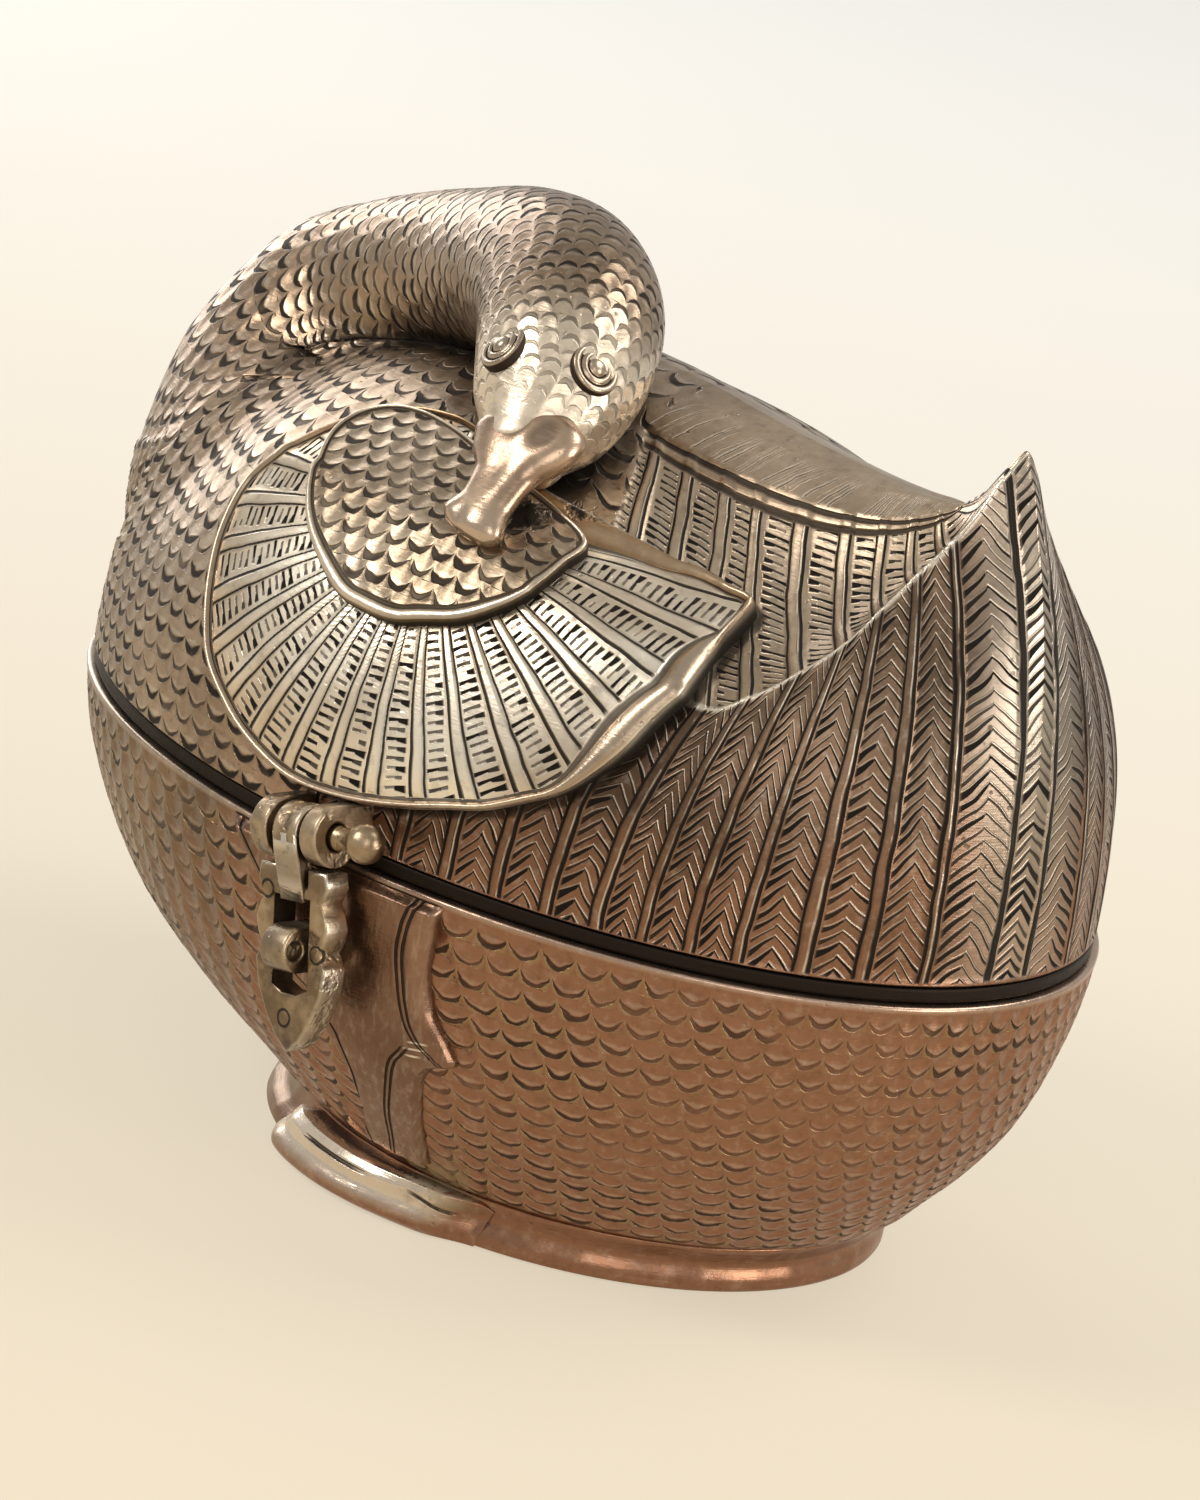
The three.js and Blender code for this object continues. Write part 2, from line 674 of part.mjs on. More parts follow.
// A lug whose nose wraps a pin and whose root reaches back to what carries it
function lugShape(nose, root, rootLow, rootHigh, bore) {
  const shape = new THREE.Shape();
  shape.moveTo(root, rootHigh);
  shape.lineTo(0, nose);
  shape.absarc(0, 0, nose, Math.PI / 2, -Math.PI / 3, false);
  shape.lineTo(root, rootLow);
  shape.closePath();
  return hole(shape, 0, 0, bore);
}

const strapHalf = haspEyeWidth / 2;
const lugInside = strapHalf + 3 * seatGap;
const latchLug = (from) => extruded(
  lugShape(lugNose, lugRoot, pinRise, lugNose, latchPinRadius + pinGap),
  from,
  from + lugThickness,
  latchFrame,
);

// Pins turned about their own axis, which LatheGeometry puts along Y
function turned(profile, frame) {
  const geometry = new THREE.LatheGeometry(profile.map(([r, y]) => new THREE.Vector2(r, y)), roundSteps);
  return solidFromGeometry(geometry, frame.clone().multiply(new THREE.Matrix4().makeRotationZ(-Math.PI / 2)));
}
const ballSteps = 8;
const ballCentre = pinNose + pinBallRadius;
const ballStart = Math.asin(latchPinRadius / pinBallRadius);
const ballArc = Array.from({ length: ballSteps + 1 }, (_, k) => {
  const angle = Math.PI - ballStart - (Math.PI - ballStart) * k / ballSteps;
  return [pinBallRadius * Math.sin(angle), ballCentre + pinBallRadius * Math.cos(angle)];
});
const haspPin = turned([
  [0, -pinTail],
  [0.55 * latchPinRadius, -pinTail],
  [latchPinRadius, -pinTail + 2 * latchPinRadius],
  ...ballArc.slice(0, -1),
  [0, ballCentre + pinBallRadius],
], latchFrame);

// Hasp: an eye on the pin, a strap and a pierced kite-shaped plate, made in the latch's own frame
const haspEye = new THREE.Shape();
haspEye.absarc(0, 0, haspEyeRadius, 0, 2 * Math.PI, false);
const haspBore = new THREE.Shape();
haspBore.absarc(0, 0, latchPinRadius + pinGap, 0, 2 * Math.PI, false);
const plateBack = haspOffset + haspThickness / 2;
const plateFront = haspOffset - haspThickness / 2;
const haspStrap = new THREE.Shape();
haspStrap.moveTo(-haspEyeRadius, 0);
haspStrap.lineTo(-haspEyeRadius + strapThickness, 0);
haspStrap.lineTo(plateFront + strapThickness, -haspSlotTop);
haspStrap.lineTo(plateFront, -haspSlotTop);
haspStrap.closePath();
const earTop = lugNose + 2 * seatGap;
const notchDepth = 0.8 * haspSlotTop;
const plateOutline = [
  [0.40, -notchDepth], [0.40, -earTop], [0.92, -earTop], [0.98, -1.45 * earTop], [0.80, -1.9 * earTop],
  [0.92, -2.2 * earTop], [1.00, -2.6 * earTop], [0.93, -3.0 * earTop], [0.80, -3.3 * earTop],
  [0.92, -3.6 * earTop], [0.97, -0.60 * haspLength], [0.88, -0.72 * haspLength],
  [0.62, -0.85 * haspLength], [0.30, -0.95 * haspLength],
];
const haspPlate = new THREE.Shape();
plateOutline.forEach(([x, z], i) => {
  if (i === 0) haspPlate.moveTo(x * haspHalfWidth, z);
  else haspPlate.lineTo(x * haspHalfWidth, z);
});
haspPlate.lineTo(0, -haspLength);
plateOutline.slice().reverse().forEach(([x, z]) => haspPlate.lineTo(-x * haspHalfWidth, z));
haspPlate.closePath();
const slot = new THREE.Path();
slot.moveTo(-haspSlotHalfWidth, -haspSlotTop);
slot.lineTo(-haspSlotHalfWidth, -haspSlotBottom);
slot.lineTo(haspSlotHalfWidth, -haspSlotBottom);
slot.lineTo(haspSlotHalfWidth, -haspSlotTop);
slot.closePath();
haspPlate.holes.push(slot);
const plateGeometry = new THREE.ExtrudeGeometry(haspPlate, { depth: haspThickness, bevelEnabled: false });
const haspBody = solidFromGeometry(
  plateGeometry,
  new THREE.Matrix4().makeRotationX(Math.PI / 2).setPosition(0, plateBack, 0),
)
  .add(extruded(haspEye, -strapHalf, strapHalf))
  .add(extruded(haspStrap, -strapHalf, strapHalf))
  .subtract(extruded(haspBore, -2 * strapHalf, 2 * strapHalf));

// Staple: the eye on the leg that the hasp drops over
const staplePlate = new THREE.Shape();
const stapleRound = (stapleBottom - stapleTop) / 2;
const stapleMiddle = -(stapleTop + stapleBottom) / 2;
staplePlate.moveTo(lugRoot, stapleMiddle + stapleRound);
staplePlate.lineTo(stapleRound - stapleOut, stapleMiddle + stapleRound);
staplePlate.absarc(stapleRound - stapleOut, stapleMiddle, stapleRound, Math.PI / 2, 1.5 * Math.PI, false);
staplePlate.lineTo(lugRoot, stapleMiddle - stapleRound);
staplePlate.closePath();
hole(staplePlate, plateFront - stapleHole + seatGap, stapleMiddle, stapleHole);

// Hinge: two lugs on the bowl, one on the lid, and the pin through them
const lidLugHalf = lidLugWidth / 2;
const bowlLugStart = lidLugHalf + seatGap;
const bowlLugEnd = bowlLugStart + bowlLugWidth;
const hingeBore = hingePinRadius + pinGap;
function hingeLugShape(rises) {
  const shape = new THREE.Shape();
  const nearRoot = hingeDrop - seatGap;
  const farRoot = knuckleRadius + hingeArm;
  if (rises) {
    shape.moveTo(-hingeRoot, nearRoot);
    shape.lineTo(-knuckleRadius, 0);
    shape.absarc(0, 0, knuckleRadius, -Math.PI, Math.PI / 2, false);
    shape.lineTo(-hingeRoot, farRoot);
  } else {
    shape.moveTo(-hingeRoot, -farRoot);
    shape.lineTo(0, -knuckleRadius);
    shape.absarc(0, 0, knuckleRadius, -Math.PI / 2, Math.PI, false);
    shape.lineTo(-hingeRoot, -nearRoot);
  }
  shape.closePath();
  return hole(shape, 0, 0, hingeBore);
}
const hingePin = turned([
  [0, -bowlLugEnd - seatGap - hingeHeadLength],
  [0.7 * hingeHeadRadius, -bowlLugEnd - seatGap - hingeHeadLength],
  [hingeHeadRadius, -bowlLugEnd - seatGap - hingeHeadLength / 2],
  [hingeHeadRadius, -bowlLugEnd - seatGap],
  [hingePinRadius, -bowlLugEnd - seatGap],
  [hingePinRadius, bowlLugEnd + seatGap],
  [hingeHeadRadius, bowlLugEnd + seatGap],
  [hingeHeadRadius, bowlLugEnd + seatGap + hingeHeadLength / 2],
  [0.7 * hingeHeadRadius, bowlLugEnd + seatGap + hingeHeadLength],
  [0, bowlLugEnd + seatGap + hingeHeadLength],
], hingeFrame);

// Pieces cut to sit on what carries them
const nearSide = -1;
const farSide = 1;
const sides = { left: nearSide, right: farSide };
const solids = {};
solids.bowl_shell = bowlShell;
solids.foot_ring = footRing;
for (const [name, side] of Object.entries(sides)) {
  solids[`${name}_leg`] = legBody(side, 0).subtract(bowlRoom);
  solids[`${name}_foot`] = footBody(side).subtract(ringRoom);
}
const legRooms = Object.values(sides).map((side) => legBody(side, seatGap));
const bowlSide = legRooms.reduce((all, room) => all.add(room), bowlRoom);
solids.staple = extruded(staplePlate, -stapleHalfWidth, stapleHalfWidth, latchFrame).subtract(bowlSide);
solids.lid_shell = lidShell;
solids.lid_lip = lidLip;
for (const [name, side] of Object.entries(sides)) {
  solids[`${name}_wing`] = wingBody(side, 0).subtract(lidRoom);
  solids[`${name}_shoulder`] = discBody(side, 0).subtract(wingBody(side, seatGap)).subtract(lidRoom);
}
const wingRooms = wingBody(nearSide, seatGap).add(discBody(nearSide, seatGap)).add(lidRoom);
const bandRoom = skin([
  rimLoop(seatGap - bandInset, tongueBottom),
  rimLoop(seatGap - bandInset, lidEdge),
]);
const lidSide = wingRooms.add(wingBody(farSide, seatGap)).add(bandRoom);
const lugKeepOff = lidSide.add(bowlSide);
solids.hinge_bowl_lug_front = extruded(hingeLugShape(false), -bowlLugEnd, -bowlLugStart, hingeFrame)
  .subtract(lugKeepOff);
solids.hinge_bowl_lug_rear = extruded(hingeLugShape(false), bowlLugStart, bowlLugEnd, hingeFrame)
  .subtract(lugKeepOff);
solids.hasp_lug_front = latchLug(-lugInside - lugThickness).subtract(lugKeepOff);
solids.hasp_lug_rear = latchLug(lugInside).subtract(lugKeepOff);
solids.hasp_pin = haspPin;
solids.hinge_lid_lug = extruded(hingeLugShape(true), -lidLugHalf, lidLugHalf, hingeFrame)
  .subtract(lugKeepOff);
solids.hinge_pin = hingePin;

const browRoom = wingRooms.subtract(neckBody(seatGap)).add(wingBody(nearSide, seatGap));
solids.head = headWhole.subtract(browRoom);
const billLine = new THREE.CatmullRomCurve3(billShares.map((row) => onLid(row[0], row[1], row[2])));
const billKnots = billShares.map((_, i) => i / (billShares.length - 1));
const billWide = monotone(billKnots, columnOf(billShares, 3));
const billDeep = monotone(billKnots, columnOf(billShares, 4));
const billRows = 14;
const billColumns = 16;
const billWhole = skin(Array.from({ length: billRows + 1 }, (_, i) => {
  const t = i / billRows;
  const along = billLine.getTangent(t);
  const across = point(1, 0, 0).addScaledVector(along, -along.x).normalize();
  const outward = across.clone().cross(along);
  return anglesAround(billColumns).map((angle) => billLine.getPoint(t)
    .addScaledVector(across, billWide(t) * billHalfWidth * Math.cos(angle))
    .addScaledVector(outward, billDeep(t) * billHalfDepth * Math.sin(angle)));
}));
const headRoom = skin([
  ...headFrames.map((frame) => neckLoop(frame, seatGap)),
  ...browRings,
]);
solids.bill = billWhole.subtract(headRoom).subtract(browRoom);

// Eyes: round bosses seated on the head
function eyeBody(t, turn) {
  const frame = neckFrames[Math.round(t * neckRows)];
  const angle = degrees(turn);
  const outward = frame.across.clone().multiplyScalar(Math.cos(angle))
    .addScaledVector(frame.deep, Math.sin(angle));
  const radius = neckDeep(t) * headRadius;
  const geometry = new THREE.LatheGeometry([
    [0, -eyeRoot], [eyeRadius, -eyeRoot], [eyeRadius, 0.4 * eyeRise], [0.85 * eyeRadius, 0.75 * eyeRise],
    [0.5 * eyeRadius, eyeRise], [0, eyeRise],
  ].map(([r, y]) => new THREE.Vector2(r, y)), roundSteps);
  const seat = frame.middle.clone().addScaledVector(outward, radius);
  const turnOut = new THREE.Quaternion().setFromUnitVectors(point(0, 1, 0), outward);
  return solidFromGeometry(geometry, new THREE.Matrix4().makeRotationFromQuaternion(turnOut).setPosition(seat));
}
solids.right_eye = eyeBody(...eyeShares[0]).subtract(headRoom);
solids.left_eye = eyeBody(...eyeShares[1]).subtract(headRoom);

// Scene graph
const castBrass = { color: 0x7d6242, roughness: 0.45, metalness: 0.9 };
const copperBrass = { color: 0x84583c, roughness: 0.42, metalness: 0.9 };
const wornBrass = { color: 0xb39465, roughness: 0.32, metalness: 0.95 };
const darkBrass = { color: 0x3f3324, roughness: 0.6, metalness: 0.8 };
const finishes = {
  bowl_shell: copperBrass,
  lid_lip: darkBrass,
  bill: wornBrass,
  left_eye: wornBrass,
  right_eye: wornBrass,
  left_leg: wornBrass,
  right_leg: wornBrass,
  hasp_pin: wornBrass,
  hinge_pin: darkBrass,
};

const duck = new THREE.Group();
for (const [name, solid] of Object.entries(solids)) {
  const material = new THREE.MeshStandardMaterial(finishes[name] ?? castBrass);
  const mesh = new THREE.Mesh(geometryFromSolid(solid), material);
  mesh.name = name;
  duck.add(mesh);
}
const hasp = new THREE.Mesh(
  geometryFromSolid(haspBody),
  new THREE.MeshStandardMaterial(wornBrass),
);
hasp.name = 'hasp';
const latch = new THREE.Group();
latch.applyMatrix4(latchFrame);
latch.add(hasp);
duck.add(latch);

// The origin is under the middle of the whole object
duck.updateMatrixWorld(true);
const room = new THREE.Box3().setFromObject(duck, true);
duck.position.set(-(room.min.x + room.max.x) / 2, -(room.min.y + room.max.y) / 2, -room.min.z);
duck.updateMatrixWorld(true);

export default duck;
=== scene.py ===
import math

import bmesh
import bpy
import numpy as np
from mathutils import Vector, Matrix
from mathutils.bvhtree import BVHTree
from mathutils.kdtree import KDTree


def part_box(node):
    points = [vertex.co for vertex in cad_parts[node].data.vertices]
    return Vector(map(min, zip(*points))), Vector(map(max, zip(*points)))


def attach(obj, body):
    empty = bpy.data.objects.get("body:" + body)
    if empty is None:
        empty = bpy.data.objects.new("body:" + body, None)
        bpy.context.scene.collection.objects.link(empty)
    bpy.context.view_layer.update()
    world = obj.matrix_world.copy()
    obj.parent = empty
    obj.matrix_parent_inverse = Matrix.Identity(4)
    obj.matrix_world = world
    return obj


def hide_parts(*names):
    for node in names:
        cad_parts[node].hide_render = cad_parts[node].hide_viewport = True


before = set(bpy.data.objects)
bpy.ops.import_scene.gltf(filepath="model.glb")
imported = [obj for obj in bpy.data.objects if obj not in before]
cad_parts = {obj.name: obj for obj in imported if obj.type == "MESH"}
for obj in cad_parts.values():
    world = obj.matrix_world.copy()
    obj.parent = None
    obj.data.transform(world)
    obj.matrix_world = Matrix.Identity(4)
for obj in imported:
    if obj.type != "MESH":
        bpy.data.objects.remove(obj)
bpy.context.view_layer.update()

print("frame loaded")

# where the body's own middle line lies, in metres, from the bowl's box and its reach to chest and side
bowlReach = (0.078, 0.058)
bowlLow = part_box("bowl_shell")[0]
modelShift = np.array([bowlLow[0] + bowlReach[0], bowlLow[1] + bowlReach[1], 0.0])


def place(points):
    # millimetres about the body's middle line, to metres in the frame
    return np.asarray(points, float) * 0.001 + modelShift


# camera
view = {"azimuth": 43.77, "elevation": 17.35, "roll": 11.43, "distance": 0.9, "lens": 160, "sensor": 36,
        "target": (0.0, 0.0, 50.0), "shiftX": 0.0187, "shiftY": 0.0167}


def makeCamera():
    a, e, r = (math.radians(view[k]) for k in ("azimuth", "elevation", "roll"))
    back = Vector((math.sin(a) * math.cos(e), -math.cos(a) * math.cos(e), math.sin(e)))
    right = Vector((math.cos(a), math.sin(a), 0))
    up = back.cross(right)
    tiltedRight = math.cos(r) * right + math.sin(r) * up
    tiltedUp = -math.sin(r) * right + math.cos(r) * up
    data = bpy.data.cameras.new("camera")
    data.lens, data.sensor_width = view["lens"], view["sensor"]
    data.shift_x, data.shift_y = view["shiftX"], view["shiftY"]
    camera = bpy.data.objects.new("camera", data)
    turned = Matrix((tiltedRight, tiltedUp, back)).transposed()
    spot = Vector(place(view["target"])) + back * view["distance"]
    camera.matrix_world = Matrix.Translation(spot) @ turned.to_4x4()
    bpy.context.collection.objects.link(camera)
    bpy.context.scene.camera = camera


makeCamera()


# small maths
def ease(x, low, high):
    t = np.clip((x - low) / (high - low), 0, 1)
    return t * t * (3 - 2 * t)


def between(x, rise, top, fall, end):
    # eases up from rise to top, and down again from fall to end
    return ease(x, rise, top) * (1 - ease(x, fall, end))


def bell(x, wide):
    return np.exp(-(x / wide) ** 2)


def mixed(a, b, t):
    return a + (b - a) * t


def stacked(*parts):
    return np.stack(np.broadcast_arrays(*parts), -1)


def circle(steps):
    return np.arange(steps) / steps * 2 * np.pi


def unit(vectors):
    return vectors / np.maximum(np.linalg.norm(vectors, axis=-1, keepdims=True), 1e-12)


def curveThrough(xs, ys):
    # smooth curve through a table, never past its rows
    xs, ys = np.asarray(xs, float), np.asarray(ys, float)
    ys = ys.reshape(len(xs), -1)
    steps = np.diff(xs)[:, None]
    slopes = np.diff(ys, axis=0) / steps
    tangents = np.zeros_like(ys)
    tangents[0], tangents[-1] = slopes[0], slopes[-1]
    before, after = 2 * steps[1:] + steps[:-1], steps[1:] + 2 * steps[:-1]
    same = slopes[:-1] * slopes[1:] > 0
    safe = np.where(same, slopes[:-1], 1), np.where(same, slopes[1:], 1)
    tangents[1:-1] = np.where(same, (before + after) / (before / safe[0] + after / safe[1]), 0)

    def at(x):
        x = np.clip(np.asarray(x, float), xs[0], xs[-1])
        i = np.clip(np.searchsorted(xs, x, side="right") - 1, 0, len(xs) - 2)
        step = steps[i, 0][..., None]
        t = ((x - xs[i]) / steps[i, 0])[..., None]
        rise = t * t * (3 - 2 * t)
        return (ys[i] * (1 - rise) + ys[i + 1] * rise
                + step * (t * (1 - t) ** 2 * tangents[i] - t * t * (1 - t) * tangents[i + 1]))
    return at


def tableCurve(rows):
    # the same through rows that begin with their place along the curve
    return curveThrough([row[0] for row in rows], [row[1:] for row in rows])


def closedCurve(points, steps):
    # smooth closed line through points, Catmull-Rom
    p = np.asarray(points, float)
    t = (np.arange(steps) / steps)[None, :, None]
    a, b, c, d = (np.roll(p, k, 0)[:, None] for k in (1, 0, -1, -2))
    out = 0.5 * (2 * b + (c - a) * t + (2 * a - 5 * b + 4 * c - d) * t ** 2
                 + (3 * b - a - 3 * c + d) * t ** 3)
    return out.reshape(-1, p.shape[1])


def sweepLine(points):
    # smooth open line through points: place and direction at a share of its knots, centripetal
    p = np.asarray(points, float)
    p = np.concatenate([[2 * p[0] - p[1]], p, [2 * p[-1] - p[-2]]])
    gaps = np.linalg.norm(np.diff(p, axis=0), axis=1) ** 0.5
    last = len(p) - 4

    def at(share):
        s = np.clip(np.asarray(share, float), 0, 1) * (last + 1)
        i = np.minimum(s.astype(int), last)
        t = (s - i)[:, None]
        p0, p1, p2, p3 = (p[i + k] for k in range(4))
        d0, d1, d2 = (gaps[i + k][:, None] for k in range(3))
        m1 = ((p1 - p0) / d0 - (p2 - p0) / (d0 + d1) + (p2 - p1) / d1) * d1
        m2 = ((p2 - p1) / d1 - (p3 - p1) / (d1 + d2) + (p3 - p2) / d2) * d1
        c2, c3 = -3 * p1 + 3 * p2 - 2 * m1 - m2, 2 * p1 - 2 * p2 + m1 + m2
        spot = p1 + m1 * t + c2 * t ** 2 + c3 * t ** 3
        return spot, unit(m1 + 2 * c2 * t + 3 * c3 * t ** 2)
    return at


def odd(cells, seed=0.0):
    # the same odd number between 0 and 1 for each cell
    value = np.sin(np.asarray(cells, float) * 12.9898 + seed * 78.233) * 43758.5453
    return value - np.floor(value)


# meshes
class Patchwork:
    # gathers grids of points into one mesh, with numbers carried on its corners
    def __init__(self, *fields):
        self.points, self.faces, self.sheets = [], [], []
        self.fields = {name: [] for name in fields}
        self.count = 0

    def add(self, points, wrap=False, flip=False, sheet=(0, 0, 1, 1), keep=None, **marks):
        rows, cols = points.shape[:2]
        wide = cols if wrap else cols - 1
        i, j = (g.ravel() for g in np.meshgrid(np.arange(rows - 1), np.arange(wide), indexing="ij"))
        if keep is not None:
            i, j = i[keep.ravel()], j[keep.ravel()]
        k = (j + 1) % cols
        faces = np.stack([i * cols + j, i * cols + k, (i + 1) * cols + k, (i + 1) * cols + j], 1)
        spots = [(0, 0), (0, 1), (1, 1), (1, 0)]
        if flip:
            faces, spots = faces[:, ::-1], spots[::-1]
        self.points.append(points.reshape(-1, 3))
        self.faces.append(faces + self.count)
        self.count += rows * cols
        for name, kept in self.fields.items():
            values = marks.get(name)
            if values is None:
                values = np.zeros((rows, wide + 1, 3))
            if values.ndim == 3:
                values = np.stack([values[:-1], values[1:]], 1)  # values at each strip's two edges
            kept.append(np.stack([values[i, r, j + c] for r, c in spots], 1))
        u, v, w, h = sheet
        self.sheets.append(np.stack([np.stack([u + w * (j + c) / wide, v + h * (i + r) / (rows - 1)], 1)
                                     for r, c in spots], 1))

    def mesh(self, name):
        used, faces = np.unique(np.concatenate(self.faces), return_inverse=True)
        points, faces = np.concatenate(self.points)[used], faces.reshape(-1, 4)
        mesh = bpy.data.meshes.new(name)
        mesh.vertices.add(len(points))
        mesh.vertices.foreach_set("co", place(points).ravel())
        mesh.loops.add(faces.size)
        mesh.loops.foreach_set("vertex_index", faces.ravel())
        mesh.polygons.add(len(faces))
        mesh.polygons.foreach_set("loop_start", np.arange(len(faces)) * 4)
        mesh.update(calc_edges=True)
        for field, parts in self.fields.items():
            carried = mesh.attributes.new(field, "FLOAT_VECTOR", "CORNER")
            carried.data.foreach_set("vector", np.concatenate(parts).astype(np.float32).ravel())
        bake = mesh.uv_layers.new(name="OFBake")
        bake.data.foreach_set("uv", np.concatenate(self.sheets).astype(np.float32).ravel())
        return mesh


def finished(mesh, name, body, nodes, paint):
    piece = bpy.data.objects.new(name, mesh)
    bpy.context.collection.objects.link(piece)
    mesh.materials.clear()
    mesh.materials.append(paint)
    mesh.polygons.foreach_set("use_smooth", np.ones(len(mesh.polygons), bool))
    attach(piece, body)
    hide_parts(*nodes)


def gridNormals(points):
    along = np.roll(points, -1, 1) - np.roll(points, 1, 1)
    return unit(np.cross(along, np.gradient(points, axis=0)))


def columnsWrapped(values):
    # repeats the first column at the end, for what is carried on corners
    return np.concatenate([values, values[:, :1]], 1)


def girths(rings):
    # length round each closed row of points
    return np.linalg.norm(np.diff(rings, axis=1, append=rings[:, :1]), axis=-1).sum(1)


# overlapping scales: mesh strips are aligned with their rows
scaleShape = {"flat": 0.52, "strips": 8, "offset": 40.0}


def scaleMarks(columns, counts, seed):
    # per strip edge and corner: across in cells of the own row, of the row below, and down
    strips = scaleShape["strips"]
    rows = len(counts)
    share = np.linspace(0, 1, columns + 1)
    row = np.repeat(np.arange(rows), strips)
    below = np.maximum(row - 1, 0)
    phase = np.arange(rows) % 2 * 0.5 + 0.12 * odd(np.arange(rows), seed)
    counts = np.asarray(counts, float)
    own = share[None] * counts[row][:, None] + phase[row][:, None]
    lower = share[None] * counts[below][:, None] + phase[below][:, None]
    down = row[:, None] + (np.arange(rows * strips) % strips)[:, None] / strips
    low = stacked(own, lower, down)
    high = stacked(own, lower, down + 1 / strips - 1e-4)
    return np.stack([low, high], 1)


def scaleRise(own, lower, part):
    # height of a scale, 0..1, from the place across its own row and the row below, and down the row
    upper = np.hypot(own - np.floor(own) - 0.5, (1 - part) * scaleShape["flat"])
    under = np.hypot(lower - np.floor(lower) - 0.5, part * scaleShape["flat"])
    reach = np.where(upper < 0.5, upper, np.minimum(under, 0.5))
    return 0.15 + 0.85 * (reach / 0.5) ** 1.5


def scaleHeight(marks):
    # at mesh points, from the strip marks' lower edges and one last row
    own, lower, down = np.moveaxis(np.concatenate([marks[:, 0, :-1], marks[-1:, 1, :-1]]), -1, 0)
    return scaleRise(own, lower, down - np.floor(down))


def planarScales(u, v, wide, tall):
    # the same on a flat pad, in mm
    down = v / tall + scaleShape["offset"]
    row = np.floor(down)
    own = u / wide + 0.5 * (row % 2)
    return scaleRise(own, own + 0.5, down - row)


# paints
def maths(operation, reflected=False):
    def made(self, *others):
        values = [self, *others]
        return self.paint.node("ShaderNodeMath", {"operation": operation}, values[::-1] if reflected else values)
    return made


class Wire:
    # one socket of a material, so that sums on it read as ordinary maths
    def __init__(self, paint, socket):
        self.paint, self.socket = paint, socket

    __add__, __radd__ = maths("ADD"), maths("ADD", True)
    __sub__, __rsub__ = maths("SUBTRACT"), maths("SUBTRACT", True)
    __mul__, __rmul__ = maths("MULTIPLY"), maths("MULTIPLY", True)
    __truediv__, __abs__ = maths("DIVIDE"), maths("ABSOLUTE")
    floor, part, root = maths("FLOOR"), maths("FRACT"), maths("SQRT")
    least, most, under = maths("MINIMUM"), maths("MAXIMUM"), maths("LESS_THAN")

    def ease(self, low, high):
        return self.paint.node("ShaderNodeMapRange", {"interpolation_type": "SMOOTHSTEP"},
                               {"Value": self, "From Min": low, "From Max": high})

    def between(self, rise, top, fall, end):
        return self.ease(rise, top) * (1 - self.ease(fall, end))

    def near(self, spot, full, none):
        # 1 about a value, fading between two distances from it
        return 1 - abs(self - spot).ease(full, none)

    def line(self, spot, wide, soft=0.3):
        # the same for a line of a given half width, which may vary
        return 1 - (abs(self - spot) / wide).ease(soft, 1.0)


class Paint:
    def __init__(self, name, tree=None):
        if tree is None:
            self.material = bpy.data.materials.new(name)
            self.material.use_nodes = True
            tree = self.material.node_tree
        self.tree = tree
        self.tree.nodes.clear()

    def node(self, kind, settings=None, inputs=(), out=0):
        made = self.tree.nodes.new(kind)
        for key, value in (settings or {}).items():
            setattr(made, key, value)
        for key, value in (inputs.items() if isinstance(inputs, dict) else enumerate(inputs)):
            if isinstance(value, Wire):
                self.tree.links.new(value.socket, made.inputs[key])
            elif value is not None:
                made.inputs[key].default_value = value
        return Wire(self, made.outputs[out]) if len(made.outputs) else None

    def split(self, vector):
        parts = self.node("ShaderNodeSeparateXYZ", None, [vector])
        return [Wire(self, parts.socket.node.outputs[k]) for k in range(3)]

    def carried(self, name):
        return self.split(self.node("ShaderNodeAttribute", {"attribute_name": name}, out="Vector"))

    def where(self):
        return self.node("ShaderNodeTexCoord", None, out="Object")

    def stretched(self, x, y, z):
        return self.node("ShaderNodeVectorMath", {"operation": "MULTIPLY"}, {0: self.where(), 1: (x, y, z)})

    def noise(self, scale, detail=3.0, rough=0.55, vector=None):
        return self.node("ShaderNodeTexNoise", None, {"Vector": vector or self.where(), "Scale": scale,
                                                      "Detail": detail, "Roughness": rough})

    def mix(self, factor, first, second):
        return self.node("ShaderNodeMix", {"data_type": "RGBA"}, {0: factor, 6: first, 7: second}, 2)

    def clouds(self, scale, low, high, first, second):
        return self.mix(self.noise(scale).ease(low, high), first, second)

    def distance(self, spot):
        return self.node("ShaderNodeVectorMath", {"operation": "DISTANCE"},
                         {0: self.where(), 1: tuple(map(float, place(spot)))}, "Value")

    def blot(self, spot, low, high):
        # an uneven patch round a place in mm, 1 in its middle
        uneven = (self.noise(330.0, 4.0, 0.7) - 0.5) * 1.8
        return 1 - (self.distance(spot[:3]) / (spot[3] * 0.001) + uneven).ease(low, high)

    def odd(self, cell):
        return self.node("ShaderNodeTexWhiteNoise", {"noise_dimensions": "1D"}, {"W": cell})


def rgb(red, green, blue):
    return (red, green, blue, 1.0)


